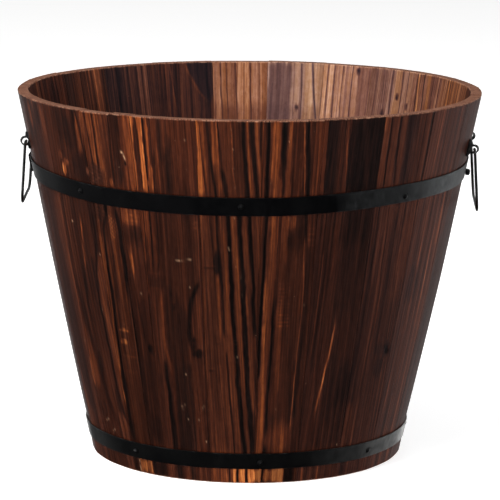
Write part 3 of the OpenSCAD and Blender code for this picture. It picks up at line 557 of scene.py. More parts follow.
def inner_18(b):
    for x, v, w in ((.06, .2, .7), (.15, .2, .6), (.245, .1, 1.3), (.33, .13, .8), (.375, .18, .6), (.45, .12, .9), (.54, .15, .7), (.625, .1, 1.0), (.72, .16, .8), (.83, .05, 1.2), (.93, .15, .8)):
        b.line(v, w, [(x, 0), (x + .01, .2), (x, .6), (x, 1)], cool=.6, ends=(0, 0), k=.85)
    b.line(.62, 1.2, [(.195, 0), (.20, .1), (.20, .35)], cool=.3, k=.8, ends=(0, 1)).line(.5, 1.2, [(.5, 0), (.5, .3)], cool=.3, k=.5, ends=(0, 1))
    b.patch(.42, .86, .95, 0, .5, cool=.2, k=.6)


def inner_17(b):
    b.patch(.40, 0, .2, 0, 1, cool=.2, k=.5)
    b.line(.15, 1.0, [(.07, 0), (.08, .2), (.1, .6)], cool=.3, ends=(0, 1)).line(.13, 1.0, [(.14, .02), (.15, .1), (.16, .3)], cool=.3, ends=(0, 1))
    b.line(.60, 1.1, [(.235, 0), (.26, .04), (.285, .08), (.30, .13)], cool=.2, ends=(0, 1)).line(.13, 1.6, [(.29, .06), (.33, .11), (.36, .17), (.38, .4)], cool=.3, k=.8)
    # dark wedge that comes to a point
    edge = np.interp(b.t, [0, .03, .06, .085, .105, .12], [.52, .59, .68, .76, .86, .95])
    right = np.interp(b.t, [0, .05, .09, .12], [1.3, 1.2, 1.02, .95])
    a = smooth((b.x - edge) * b.w / 1.6 + .5) * smooth((right - b.x) * b.w / 2.5 + .5) * smooth((.118 - b.t) / .012 + .5)
    b._mix(a * .92, .15, .95)
    rim = np.exp(-(((b.x - edge) * b.w + 1.4) / 1.1) ** 2) * smooth((.11 - b.t) / .02 + .5)
    b._mix(rim * .55, .62, .1)
    b.line(.22, 3.0, [(.88, .11), (.88, .2), (.86, .4)], cool=.6, k=.5).speck(.87, .117, .9, .4)


def inner_16(b):
    for x, w, v in ((.145, 1.5, .12), (.255, .9, .3), (.425, 1.0, .18), (.69, 1.4, .16)):
        b.line(v, w, [(x - .01, 0), (x, .08), (x + .025, .2), (x + .03, 1)], cool=.7, k=.46, ends=(0, 0))
    # painted shade: the wall is darkened from .128 down, where it lies deeper in the tub
    b.patch(.46, 0, 1, .128, 1, k=.32, sy=12)
    b.patch(.92, .05, .12, 0, 1, cool=.2, k=.6).patch(.92, .47, .66, 0, 1, cool=.15, k=.5).line(.6, .8, [(.57, 0), (.58, 1)], cool=.4, ends=(0, 0), k=.6)
    b.line(.62, .8, [(.85, 0), (.86, 1)], cool=.4, ends=(0, 0), k=.6)


def inner_15(b):
    # the third patch, from .128 down, is painted shade that darkens the wall deeper in the tub
    b.patch(.44, .0, .44, 0, 1, cool=.75, k=.55, sx=4).patch(1.0, .66, 1, 0, 1, cool=.1, k=.45, sx=4).patch(.46, 0, 1, .128, 1, k=.3, sy=12).patch(.86, .68, .82, 0, 1, cool=.15, k=.5).patch(.86, .9, 1, 0, 1, cool=.15, k=.5)
    for x in (.2, .28, .38, .47):
        b.line(.58, .8, [(x, 0), (x + .01, .3), (x, 1)], cool=.6, k=.6, ends=(0, 0))
    b.line(.42, .8, [(.60, 0), (.62, .08), (.63, .3)], cool=.8, k=.8, ends=(0, 1))
    b.line(.52, 1.6, [(.80, 0), (.83, .06), (.87, .11), (.92, .17), (.95, .3)], cool=1.0, k=.85, ends=(0, 1)).line(.25, .7, [(.815, .02), (.845, .07), (.885, .12), (.93, .17)], cool=.6, k=.6)
    b.knot(.545, .13, .9, v=.2).line(.9, .8, [(.45, .0), (.45, .3)], k=.5, cool=.5)


def inner_14(b):
    for x, w, v in ((.10, 1.0, .3), (.235, 1.1, .22), (.40, 1.0, .28), (.60, 1.2, .2), (.33, .6, .5), (.48, .6, .55)):
        b.line(v, w, [(x, 0), (x + .005, .1), (x + .015, .3), (x, 1)], cool=.75, k=.44, ends=(0, 0))
    b.patch(.88, .13, .21, 0, 1, cool=.1, k=.6).patch(.86, .52, .58, 0, 1, cool=.1, k=.6).patch(.60, .72, 1, 0, 1, cool=.35, k=.5)
    b.knot(.72, .016, 1.1, v=.12)


def inner_13(b):
    for x, w, v in ((.125, 1.2, .28), (.155, .7, .4), (.30, .9, .3), (.345, .9, .35), (.50, 1.8, .15), (.745, 1.0, .25), (.88, .8, .35)):
        b.line(v, w, [(x - .015, 0), (x, .1), (x + .01, .3), (x, 1)], cool=.75, k=.46, ends=(0, 0))
    b.patch(.84, .56, .72, 0, 1, cool=.1, k=.8).patch(.58, .0, .40, 0, 1, cool=.4, k=.5, sx=3)
    b.knot(.65, .077, 1.0, v=.12).knot(.92, .10, .8, v=.2).knot(.35, .128, 1.0, v=.15)


def inner_12(b):
    b.line(.97, 1.9, [(.14, 0), (.17, .06), (.21, .14), (.25, .3)], cool=.0, k=.95, ends=(0, 1)).line(.3, 1.2, [(.28, 0), (.33, .1), (.36, .3)], cool=.6, ends=(0, 1))
    b.line(.20, .9, [(.10, 0), (.125, .1)], cool=.4, ends=(0, 1), k=.8).line(.82, 3.6, [(.42, 0), (.46, .06), (.51, .14)], cool=.0, k=.85, ends=(0, 1))
    b.line(.3, 1.0, [(.56, 0), (.6, .2)], cool=.5, ends=(0, 1), k=.7).line(.3, 1.0, [(.75, 0), (.78, .2)], cool=.3, ends=(0, 1), k=.5)


def inner_11(b):
    for x, w in ((.09, 1.6), (.18, 1.2), (.285, 1.0)):
        b.line(.88, w, [(x, 0), (x + .03, .1), (x + .05, .3)], cool=.0, k=.85, ends=(0, 1))
    b.line(.3, 1.0, [(.14, 0), (.18, .1)], cool=.3, ends=(0, 1)).line(.34, 1.4, [(.5, 0), (.54, .2)], cool=.3, ends=(0, 1), k=.6)


# Base of each board's outer face: tone, coolness, contrast, lean in mm down the board, ring spacing, ring strength, arch
OUTER = {
    0: dict(base=.42, cool=.40, contrast=1.0, ring_amp=.24, rings=4.2, lean=((0, 0), (.3, -3), (.6, 0), (1, 5)), paint=outer_0),
    1: dict(base=.45, cool=.25, contrast=1.05, ring_amp=.25, rings=2.6, paint=outer_1),
    2: dict(base=.42, cool=.25, contrast=1.05, ring_amp=.25, rings=2.4, paint=outer_2),
    3: dict(base=.44, cool=.30, contrast=.9, ring_amp=.30, rings=2.0, paint=outer_3),
    4: dict(base=.53, cool=.15, contrast=1.0, ring_amp=.30, rings=2.2, lean=((0, 0), (1, 12)), paint=outer_4),
    5: dict(base=.45, cool=.20, contrast=1.0, ring_amp=.30, rings=2.3, lean=((0, 0), (1, -2)), paint=outer_5),
    6: dict(base=.33, cool=.55, contrast=.8, ring_amp=.35, rings=2.1, lean=((0, 0), (1, -6)), paint=outer_6),
    7: dict(base=.38, cool=.50, contrast=1.0, ring_amp=.35, rings=2.6, paint=outer_7),
    8: dict(base=.40, cool=.60, contrast=1.0, ring_amp=.40, rings=2.8, paint=outer_8),
    9: dict(base=.40, cool=.60, contrast=1.0, ring_amp=.45, rings=2.5, paint=outer_9),
    10: dict(base=.38, cool=.45, contrast=1.2, ring_amp=.8, rings=3.4, arch=(3, .25, 9.0)),
    11: dict(base=.46, cool=.30, contrast=1.3, ring_amp=.8, rings=2.2),
    12: dict(base=.34, cool=.50, contrast=1.2, ring_amp=.7, rings=2.8, lean=((0, 0), (1, 9))),
    13: dict(base=.50, cool=.15, contrast=1.4, ring_amp=.9, rings=3.0, arch=(-5, .7, 8.0)),
    14: dict(base=.40, cool=.30, contrast=1.2, ring_amp=.8, rings=1.9),
    15: dict(base=.52, cool=.15, contrast=1.5, ring_amp=.8, rings=2.6, lean=((0, 0), (1, -10))),
    16: dict(base=.38, cool=.45, contrast=1.2, ring_amp=.9, rings=3.6, arch=(1, .45, 11.0)),
    17: dict(base=.44, cool=.25, contrast=1.4, ring_amp=.8, rings=2.3),
    18: dict(base=.33, cool=.50, contrast=1.2, ring_amp=.7, rings=2.0, lean=((0, 0), (.5, 3), (1, 2))),
    19: dict(base=.48, cool=.20, contrast=1.4, ring_amp=.9, rings=3.2, arch=(6, .1, 9.0)),
    20: dict(base=.42, cool=.35, contrast=1.2, ring_amp=.7, rings=2.4),
    21: dict(base=.40, cool=.45, contrast=1.0, ring_amp=.6, rings=2.6, lean=((0, 0), (1, 7))),
    22: dict(base=.42, cool=.50, contrast=1.0, ring_amp=.45, rings=2.8, paint=outer_22),
    23: dict(base=.40, cool=.45, contrast=1.0, ring_amp=.30, rings=3.0, paint=outer_23),
}
INNER = {
    20: dict(base=.42, cool=.30, ring_amp=.5, rings=3.0, contrast=1.5, paint=inner_20),
    19: dict(base=.42, cool=.20, ring_amp=.4, rings=2.4, contrast=1.5, paint=inner_19),
    18: dict(base=.34, cool=.55, ring_amp=.3, rings=2.2, contrast=1.5, paint=inner_18),
    17: dict(base=.38, cool=.40, ring_amp=.3, rings=2.8, contrast=1.5, paint=inner_17),
    16: dict(base=.84, cool=.25, ring_amp=.16, rings=2.0, contrast=.5, paint=inner_16),
    15: dict(base=.82, cool=.45, ring_amp=.10, rings=2.4, contrast=.45, paint=inner_15),
    14: dict(base=.84, cool=.30, ring_amp=.16, rings=2.2, contrast=.5, paint=inner_14),
    13: dict(base=.80, cool=.35, ring_amp=.18, rings=2.0, contrast=.5, paint=inner_13),
    12: dict(base=.72, cool=.30, ring_amp=.25, rings=2.4, contrast=.65, paint=inner_12),
    11: dict(base=.62, cool=.35, ring_amp=.3, rings=2.4, contrast=.8, paint=inner_11),
}


# Colour factors for each board, as a share of each colour: outer faces, then inner faces. They are partly stain and
# partly painted light: the side boards 8, 9 and 22 are made greyer and lighter as painted sheen, and the inner faces of
# the back-right boards 12 to 16 are lightened and greyed as painted light and sheen on that lit wall
STAIN_AND_SHEEN = {0: (.64, .46, .31), 1: (.76, .55, .35), 2: (.76, .53, .33), 3: (.75, .51, .31), 4: (.76, .54, .33), 5: (.74, .51, .31), 6: (.84, .59, .39),
         7: (.78, .61, .47), 8: (.93, .75, .59), 9: (.90, .71, .56), 22: (.86, .69, .57), 23: (.74, .55, .40)}
STAIN_AND_LIGHT_IN = {11: (1.14, 1.16, 1.06), 12: (1.04, 1.19, 1.46), 13: (.98, 1.24, 1.72), 14: (1.17, 1.48, 2.2), 15: (1.17, 1.58, 2.2),
            16: (1.0, 1.06, 1.30), 17: (1.55, 1.45, 1.32), 18: (1.45, 1.42, 1.32), 19: (1.65, 1.38, 1.0), 20: (1.15, .92, .76)}
# How each board's colour factor changes down the board, at a tenth, a third, six tenths, near the foot and under the
# lower hoop. Under the lower hoop the factors above 1 are painted light: floor bounce at the front and sheen on the
# side boards
FALL = {0: (1, .98, .96, .96, 1.05), 1: (.98, .77, .55, .60, .60), 2: (1.10, .92, .64, .64, .78), 3: (1.10, .74, .74, .76, .98), 4: (1.10, .78, .78, .88, 1.12),
        5: (1.04, .80, .79, .90, .52), 6: (1.0, .78, .82, .80, 1.02), 7: (1.07, 1.07, .93, .92, 1.22), 8: (1.2, 1.16, 1.07, 1.02, 1.25), 9: (1, .97, .97, 1, 1.4),
        22: (1.0, .95, .92, .95, 1.3), 23: (1.05, .98, .96, 1, 1.25)}


# ------------------------------------------------------------- mesh building
def columns(w, step):
    """Shares across a face of width w mm, closer near its two edges."""
    e = np.array([0, .12, .28, .5, .8]) / w
    n = max(8, int(round((w - 2.2) / step)))
    mid = np.linspace(1.1 / w, 1 - 1.1 / w, n + 1)
    return np.concatenate([e, mid, 1 - e[::-1]])


def zipper(a, ua, b, ub):
    """Triangles between two rows of vertex numbers with growing shares ua and ub."""
    i = j = 0
    faces = []
    while i < len(a) - 1 or j < len(b) - 1:
        if j == len(b) - 1 or (i < len(a) - 1 and ua[i + 1] <= ub[j + 1]):
            faces.append((a[i], a[i + 1], b[j]))
            i += 1
        else:
            faces.append((a[i], b[j + 1], b[j]))
            j += 1
    return faces


def grid_quads(first, rows, cols):
    r, c = np.meshgrid(np.arange(rows - 1), np.arange(cols - 1), indexing="ij")
    a = first + r * cols + c
    return np.stack([a, a + 1, a + cols + 1, a + cols], -1).reshape(-1, 4)


def make_mesh(name, verts, faces, attrs=None, angle=35.0, smooth_shading=True):
    me = bpy.data.meshes.new(name)
    me.from_pydata([tuple(v) for v in verts], [], [tuple(int(k) for k in f) for f in faces])
    me.validate(verbose=False)
    for key, arr in (attrs or {}).items():
        arr = np.asarray(arr, np.float32)
        if arr.ndim == 2:
            at = me.attributes.new(key, "FLOAT_VECTOR", "POINT")
            at.data.foreach_set("vector", arr.ravel())
        else:
            at = me.attributes.new(key, "FLOAT", "POINT")
            at.data.foreach_set("value", arr)
    if smooth_shading:
        me.polygons.foreach_set("use_smooth", np.ones(len(me.polygons), bool))
        me.set_sharp_from_angle(angle=math.radians(angle))
    me.update()
    ob = bpy.data.objects.new(name, me)
    bpy.context.scene.collection.objects.link(ob)
    return ob


def facing_out(ob):
    """Turns a closed mesh's faces outwards."""
    import bmesh
    bm = bmesh.new()
    bm.from_mesh(ob.data)
    bmesh.ops.recalc_face_normals(bm, faces=bm.faces)
    bm.to_mesh(ob.data)
    bm.free()
    ob.data.update()
    return ob


def make_stave(i):
    rng = np.random.default_rng(700 + i)
    # the boards are driven tight: no daylight between them
    a0, a1 = math.radians(JOINTS[i] + TIGHT), math.radians(JOINTS[i + 1] - TIGHT)
    arc = a1 - a0
    front = i <= 9 or i >= 22
    w_top, w_foot = TOP_R * arc, FOOT_R * arc
    xo = columns(w_top, .62 if front else .95)
    xi = columns(w_top * .95, .7 if 11 <= i <= 20 else 1.4)
    drop = float(rng.uniform(.05, .85))
    off_in = float(rng.uniform(.0, .5))
    off0, off1 = rng.uniform(.0, .22, 2)
    top_z, rho, rho_b = H - drop, 0.8, 0.7
    # rows of the long faces, from the top down, then roundings
    n = 196 if front else 120
    zs = np.linspace(top_z - 1.2, 1.0, n)
    t_rows = (H - zs) / H
    seed = 100 * i + 7
    ob = Board(xo, t_rows, w_top, w_foot, WALL_LEN, seed, **{k: v for k, v in OUTER[i].items() if k != "paint"})
    if "paint" in OUTER[i]:
        OUTER[i]["paint"](ob)
    ob.done()
    inner_spec = INNER.get(i, dict(base=.44 + .05 * math.sin(3.1 * i), cool=.35, ring_amp=.7, rings=2.4 + .5 * math.sin(1.7 * i)))
    # the inner face is painted as seen from inside, so its x runs from the larger azimuth to the smaller
    ib = Board(xi, t_rows, w_top * .95, w_foot * .93, WALL_LEN, seed + 50, **{k: v for k, v in inner_spec.items() if k != "paint"})
    if "paint" in inner_spec:
        inner_spec["paint"](ib)
    ib.done()

    sag_o = TOP_R * (1 - math.cos(arc / 2)) * .17
    edge_wave = lambda z, s: .5 + .22 * noise(np.asarray(z) / 18.0, 0.0, seed + s) + .12 * noise(np.asarray(z) / 5.0, 3.0, seed + s)

    def outer_radius(x, z, relief):
        w = w_foot + (w_top - w_foot) * z / H
        flat = sag_o * (1 - (2 * x - 1) ** 2)
        cup = off0 * (1 - x) + off1 * x
        # between the hoops the boards belly out a little
        belly = .7 * np.clip(np.sin(np.pi * np.clip((z - 30) / 198.0, 0, 1)), 0, 1) ** .7
        r = r_out(z) - flat - cup - relief + belly + tuck(np.degrees(a0 + arc * x), z)
        # the ends stand out a little under the lower hoop
        r = r + .35 * np.clip((13.4 - z) / 2.2, 0, 1)
        for d, s in ((x * w, 70), ((1 - x) * w, 71)):
            rr = np.clip(edge_wave(z, s), .25, 1.0)
            dd = np.clip(d, 0, rr)
            r = r - (rr - np.sqrt(np.maximum(rr * rr - (rr - dd) ** 2, 0)))
        return r

    def inner_radius(x, z, relief):
        w = (w_foot + (w_top - w_foot) * z / H) * .95
        r = r_out(z) - WALL + sag_o * (2 * x - 1) ** 2 + relief * .8 + .05 + off_in * np.clip((z - 200) / 100.0, 0, 1)
        for d, s in ((x * w, 72), ((1 - x) * w, 73)):
            rr = np.clip(edge_wave(z, s), .25, 1.0)
            dd = np.clip(d, 0, rr)
            r = r + (rr - np.sqrt(np.maximum(rr * rr - (rr - dd) ** 2, 0)))
        return r

    V, A, sheets = [], {k: [] for k in ("tone", "cool", "mark", "phi", "ring", "endg", "wear", "soft")}, {}
    G, S = [], []
    # this board's colour factors, partly stain and partly painted sheen and light (see the tables above)
    stain_and_sheen_o, stain_and_light_i, fall = STAIN_AND_SHEEN.get(i, (.76, .56, .35)), STAIN_AND_LIGHT_IN.get(i, (1.1, 1.0, .9)), FALL.get(i, (1, 1, 1, 1, 1))

    def add(r, th, z, fields, key, cols):
        start = sum(len(v) for v in V)
        V.append(np.stack([r * np.cos(th), r * np.sin(th), z], -1).reshape(-1, 3))
        for k in A:
            A[k].append(np.broadcast_to(fields.get(k, 0.0), r.shape).astype(float).ravel())
        G.append(np.stack([np.broadcast_to(fields["gx"], r.shape).ravel(), np.broadcast_to(fields["gy"], r.shape).ravel(),
                           np.full(r.size, i * 3.7)], -1))
        if key in ("intop", "inner", "infoot"):
            S.append(np.tile(stain_and_light_i, (r.size, 1)))
        else:
            # the factor down the outer face; under the lower hoop, values above 1 are painted floor light and side
            # sheen
            down = np.interp(G[-1][:, 1] / WALL_LEN, (.1, .33, .6, .88, .962), fall)
            S.append(down[:, None] * np.array(stain_and_sheen_o)[None])
        sheets[key] = (start, r.shape[0], cols)

    th_o = a0 - math.pi / 2 + arc * xo
    th_i = a1 - math.pi / 2 - arc * xi
    # chips and wear along the top edge
    chip = np.clip(noise(xo * w_top / 3.0, 1.0, seed + 80) - .45, 0, 1) * 1.6 + .15 * np.clip(noise(xo * w_top / 1.2, 2.0, seed + 81), 0, 1)

    def rounding(sign_rows, z_edge, r_fn, x, relief_row, rad, up, chipv):
        """Rows round an edge, from the wall to the end face. up is +1 at the top and -1 at the foot."""
        rows = []
        for ph in sign_rows:
            inset = rad * (1 - math.cos(ph)) + chipv * math.sin(ph) * .9
            z = z_edge - up * (rad * (1 - math.sin(ph)) + chipv * (1 - math.sin(ph)) * .5)
            rows.append((inset, z))
        return rows

    fo = dict(tone=ob.tone, cool=ob.cool, mark=ob.mark, phi=ob.phi, ring=ob.ring, gx=ob.g + ob.warp, gy=ob.my, endg=0.0,
              wear=0.0)
    Z = np.broadcast_to(zs[:, None], ob.x.shape)
    Ro = outer_radius(ob.x, Z, ob.relief)
    TH = np.broadcast_to(th_o, ob.x.shape)
    angles = [math.radians(d) for d in (12, 35, 60, 90)]
    top_rows = rounding(angles, top_z, None, xo, None, rho, 1, chip)
    r_edge_top = outer_radius(xo, np.full(len(xo), top_z - .8), ob.relief[0])
    rr, zz, tt = [], [], []
    for inset, z in reversed(top_rows):
        rr.append(r_edge_top - inset)
        zz.append(z * np.ones(len(xo)))
        tt.append(th_o)
    ends = dict(tone=ob.tone[0] * np.ones((4, 1)), cool=ob.cool[0] * np.ones((4, 1)), mark=0.0, phi=ob.phi[0] * np.ones((4, 1)), ring=ob.ring[0] * np.ones((4, 1)),
                gx=(ob.g + ob.warp)[0] * np.ones((4, 1)), gy=np.array([[-3.0], [-2.4], [-1.8], [-1.2]]) * np.ones((1, len(xo))),
                endg=np.array([[1.0], [.9], [.6], [.25]]) * np.ones((1, len(xo))), wear=np.array([[.5], [.9], [1.0], [.6]]) * (0.6 + chip * .6))
    top_grid_r, top_grid_z = np.array(rr), np.array(zz)
    # end face rows between the two edges, from the inner side outwards
    m = 6
    r_in_top = inner_radius(xo[::-1], np.full(len(xo), top_z - .8), np.zeros(len(xo)))[::-1] + .8
    share = np.linspace(.12, .97, m)[:, None]
    face_r = r_in_top * (1 - share) + top_grid_r[0] * share
    face_z = np.full_like(face_r, top_z) - .10 * np.abs(noise(face_r / 1.3, xo * w_top / 1.1, seed + 90)) - .25 * np.clip(noise(face_r / 5.0, xo * w_top / 9.0, seed + 91), 0, 1)
    endf = dict(tone=.60 + .08 * noise(xo * w_top / 2.0, face_r / 3.0, seed + 92), cool=.55, mark=0.0,
                phi=(ob.phi[0] * np.ones((m, 1)) + share * 1.3), ring=.5, gx=(ob.g + ob.warp)[0] * np.ones((m, 1)) + share * 4,
                gy=-3.5 - 6 * (1 - share) * np.ones((1, len(xo))), endg=1.0, wear=.3)
    add(face_r, np.broadcast_to(th_o, face_r.shape), face_z, endf, "topface", len(xo))
    add(top_grid_r, np.broadcast_to(th_o, top_grid_r.shape), top_grid_z, ends, "toprow", len(xo))
    add(Ro, TH, Z, fo, "outer", len(xo))
    # foot rounding and foot face
    r_edge_bot = outer_radius(xo, np.full(len(xo), .8), ob.relief[-1])
    br, bz = [], []
    for ph in angles:
        br.append(r_edge_bot - rho_b * (1 - math.cos(ph)))
        bz.append(np.full(len(xo), rho_b * (1 - math.sin(ph))))
    last = {k: (ob.__dict__[k][-1] * np.ones((4, 1))) for k in ("tone", "cool", "phi", "ring")}
    last.update(mark=0.0, gx=(ob.g + ob.warp)[-1] * np.ones((4, 1)), gy=WALL_LEN + np.array([[.5], [1], [1.5], [2]]) * np.ones((1, len(xo))),
                endg=np.array([[.2], [.5], [.8], [1.0]]) * np.ones((1, len(xo))), wear=.6)
    add(np.array(br), np.broadcast_to(th_o, (4, len(xo))), np.array(bz), last, "footrow", len(xo))
    r_in_bot = inner_radius(xo[::-1], np.full(len(xo), .8), np.zeros(len(xo)))[::-1] + .5
    share_b = np.linspace(.94, .1, 5)[:, None]
    fr = r_in_bot * (1 - share_b) + br[-1] * share_b
    endb = dict(endf)
    endb.update(phi=ob.phi[-1] * np.ones((5, 1)) + share_b, gx=(ob.g + ob.warp)[-1] * np.ones((5, 1)) + share_b * 4, gy=WALL_LEN + 3 + 6 * (1 - share_b) * np.ones((1, len(xo))),
                tone=.42 + .06 * noise(xo * w_foot / 2.0, fr / 3.0, seed + 93), wear=.5)
    add(fr, np.broadcast_to(th_o, fr.shape), np.zeros_like(fr) + .02, endb, "footface", len(xo))
    # inner sheet, from the top rounding down to the foot
    fi = dict(tone=ib.tone, cool=ib.cool, mark=ib.mark, phi=ib.phi, ring=ib.ring, gx=ib.g + ib.warp, gy=ib.my + 900, endg=0.0, wear=0.0,
              soft={15: .65, 14: .55, 16: .5, 13: .5, 12: .4}.get(i, 0.0))
    Ri = inner_radius(ib.x, Z[:, :1] * np.ones((1, len(xi))), ib.relief)
    r_it = inner_radius(xi, np.full(len(xi), top_z - .8), ib.relief[0])
    ir, iz = [], []
    for ph in reversed(angles):
        ir.append(r_it + .8 * (1 - math.cos(ph)))
        iz.append(np.full(len(xi), top_z - .8 * (1 - math.sin(ph))))
    firsti = {k: (ib.__dict__[k][0] * np.ones((4, 1))) for k in ("tone", "cool", "phi", "ring")}
    firsti.update(mark=0.0, gx=(ib.g + ib.warp)[0] * np.ones((4, 1)), gy=895 + np.array([[0.], [1], [2], [3]]) * np.ones((1, len(xi))),
                  endg=np.array([[1.0], [.9], [.6], [.25]]) * np.ones((1, len(xi))), wear=np.array([[.5], [.9], [1.0], [.5]]) * np.ones((1, len(xi))))
    add(np.array(ir), np.broadcast_to(th_i, (4, len(xi))), np.array(iz), firsti, "intop", len(xi))
    add(Ri, np.broadcast_to(th_i, Ri.shape), Z[:, :1] * np.ones((1, len(xi))), fi, "inner", len(xi))
    r_ib = inner_radius(xi, np.full(len(xi), .8), ib.relief[-1])
    lasti = {k: (ib.__dict__[k][-1] * np.ones((2, 1))) for k in ("tone", "cool", "phi", "ring")}
    lasti.update(mark=0.0, gx=(ib.g + ib.warp)[-1] * np.ones((2, 1)), gy=905 + WALL_LEN + np.array([[0.], [1]]) * np.ones((1, len(xi))), endg=.6, wear=.3)
    add(np.stack([r_ib + .1, r_ib + .4]), np.broadcast_to(th_i, (2, len(xi))), np.array([[.35], [.06]]) * np.ones((1, len(xi))), lasti, "infoot", len(xi))

    verts = np.concatenate(V) * MM
    faces = []
    cols = len(xo)
    # the outer column: topface, toprow, outer, footrow, footface follow each other without a break
    rows_o = sum(sheets[k][1] for k in ("topface", "toprow", "outer", "footrow", "footface"))
    q = grid_quads(sheets["topface"][0], rows_o, cols)
    rows_i = sum(sheets[k][1] for k in ("intop", "inner", "infoot"))
    qi = grid_quads(sheets["intop"][0], rows_i, len(xi))
    faces = [tuple(f) for f in q] + [tuple(f) for f in qi]
    o0, i0 = sheets["topface"][0], sheets["intop"][0]
    row_o = lambda r: o0 + r * cols + np.arange(cols)
    row_i = lambda r: i0 + r * len(xi) + np.arange(len(xi))
    # inner x runs the other way
    faces += zipper(list(row_o(0)), list(xo), list(row_i(0)[::-1]), list(1 - xi[::-1]))
    faces += zipper(list(row_o(rows_o - 1)), list(xo), list(row_i(rows_i - 1)[::-1]), list(1 - xi[::-1]))
    # the two joint faces
    for oc, ic in ((0, len(xi) - 1), (cols - 1, 0)):
        path = [o0 + r * cols + oc for r in range(rows_o)] + [i0 + r * len(xi) + ic for r in range(rows_i - 1, -1, -1)]
        faces.append(tuple(path))
    attrs = {k: np.concatenate(v) for k, v in A.items()}
    attrs["grain"] = np.concatenate(G)
    attrs["stain_and_light"] = np.concatenate(S)
    obj = make_mesh(f"wood_stave_{i + 1:02d}", verts, faces, attrs, angle=38, smooth_shading=False)
    facing_out(obj)
    obj.data.polygons.foreach_set("use_smooth", np.ones(len(obj.data.polygons), bool))
    obj.data.set_sharp_from_angle(angle=math.radians(38))
    return obj


def lathe(profile, segs, wobble=0.0, seed=0, squash=(1.0, 1.0)):
    """Closed surface of revolution about +Z from (r, z) points, the first and last on the axis."""
    v, f = [], []
    rng = np.random.default_rng(seed)
    ph0 = rng.uniform(0, 6.28)
    for k, (r, z) in enumerate(profile):
        if r < 1e-9:
            v.append((0, 0, z))
            continue
        for s in range(segs):
            a = 2 * math.pi * s / segs
            rr = r * (1 + wobble * math.sin(2 * a + ph0) + .5 * wobble * math.sin(5 * a + 2 * ph0))
            v.append((rr * math.cos(a) * squash[0], rr * math.sin(a) * squash[1], z + wobble * .8 * r * math.sin(a + ph0) * (1 if z > 0.5 else 0)))
    starts, at = [], 0
    for r, z in profile:
        starts.append(at)
        at += 1 if r < 1e-9 else segs
    for k in range(len(profile) - 1):
        a, b = starts[k], starts[k + 1]
        ca, cb = profile[k][0] < 1e-9, profile[k + 1][0] < 1e-9
        for s in range(segs):
            t = (s + 1) % segs
            if ca:
                f.append((a, b + s, b + t))
            elif cb:
                f.append((a + s, b, a + t))
            else:
                f.append((a + s, b + s, b + t, a + t))
    return np.array(v, float), f


def place(v, a, z, off, roll=0.0, tip=(0.0, 0.0)):
    """Local mm points with +Z outwards, put on the wall."""
    p, n, up, w = wall_frame(a, z)
    c, s = math.cos(roll), math.sin(roll)
    x, y, q = v[:, 0] * c - v[:, 1] * s, v[:, 0] * s + v[:, 1] * c, v[:, 2]
    q = q + tip[0] * x + tip[1] * y
    return (p + off * n)[None] + x[:, None] * (-up) + y[:, None] * w + q[:, None] * n


class Bag:
    """Several closed shapes gathered into one mesh."""

    def __init__(self):
        self.v, self.f, self.n, self.a, self.p = [], [], 0, [], []

    def add(self, v, f, wear=None, sheen_and_dust=None):
        self.v.append(np.asarray(v, float))
        self.f += [tuple(int(k) + self.n for k in q) for q in f]
        self.n += len(v)
        self.a.append(np.zeros(len(v)) if wear is None else np.broadcast_to(wear, (len(v),)))
        self.p.append(np.zeros(len(v)) if sheen_and_dust is None else sheen_and_dust)

    def make(self, name, angle=40):
        ob = make_mesh(name, np.concatenate(self.v) * MM, self.f, {"wear": np.concatenate(self.a), "sheen_and_dust": np.concatenate(self.p)}, smooth_shading=False)
        facing_out(ob)
        ob.data.polygons.foreach_set("use_smooth", np.ones(len(ob.data.polygons), bool))
        ob.data.set_sharp_from_angle(angle=math.radians(angle))
        return ob


def ribbon(centres, n_dirs, w_dirs, widths, thick, corner=.35, end_round=0.0):
    """A strip swept along centres. n_dirs is its thickness direction, w_dirs its width direction.
    Returns verts, quads and a wear value that is high along the edges."""
    k = 4
    sec = []
    for qx, qy in ((1, 1), (-1, 1), (-1, -1), (1, -1)):
        for j in range(k + 1):
            a = math.radians({(1, 1): 0, (-1, 1): 90, (-1, -1): 180, (1, -1): 270}[(qx, qy)] + 90 * j / k)
            sec.append((qx, qy, math.cos(a), math.sin(a)))
    extra = [(.5, 1), (0, 1), (-.5, 1)], [(-.5, -1), (0, -1), (.5, -1)]
    v, wear = [], []
    m = None
    for c, nd, wd, wi in zip(centres, n_dirs, w_dirs, widths):
        hw, ht = wi / 2, thick / 2
        cr = min(corner, hw * .9)
        ring, wr = [], []
        for idx, (qx, qy, ca, sa) in enumerate(sec):
            ring.append((qx * (hw - cr) + ca * cr, qy * (ht - cr) + sa * cr))
            wr.append(1.0)
            if idx == k:
                for ex in (.9, .5, 0, -.5, -.9):
                    ring.append((ex * (hw - cr), ht))
                    wr.append(.35 if abs(ex) > .8 else 0.0)
            if idx == 3 * k + 2:
                for ex in (-.9, -.5, 0, .5, .9):
                    ring.append((ex * (hw - cr), -ht))
                    wr.append(.35 if abs(ex) > .8 else 0.0)
        m = len(ring)
        for (x, y) in ring:
            v.append(c + wd * x + nd * y)
        wear += wr
    v = np.array(v)
    rows = len(centres)
    f = []
    for r in range(rows - 1):
        for s in range(m):
            t = (s + 1) % m
            f.append((r * m + s, r * m + t, (r + 1) * m + t, (r + 1) * m + s))
    f.append(tuple(range(m)))
    f.append(tuple(range((rows - 1) * m, rows * m))[::-1])
    return v, f, np.array(wear)


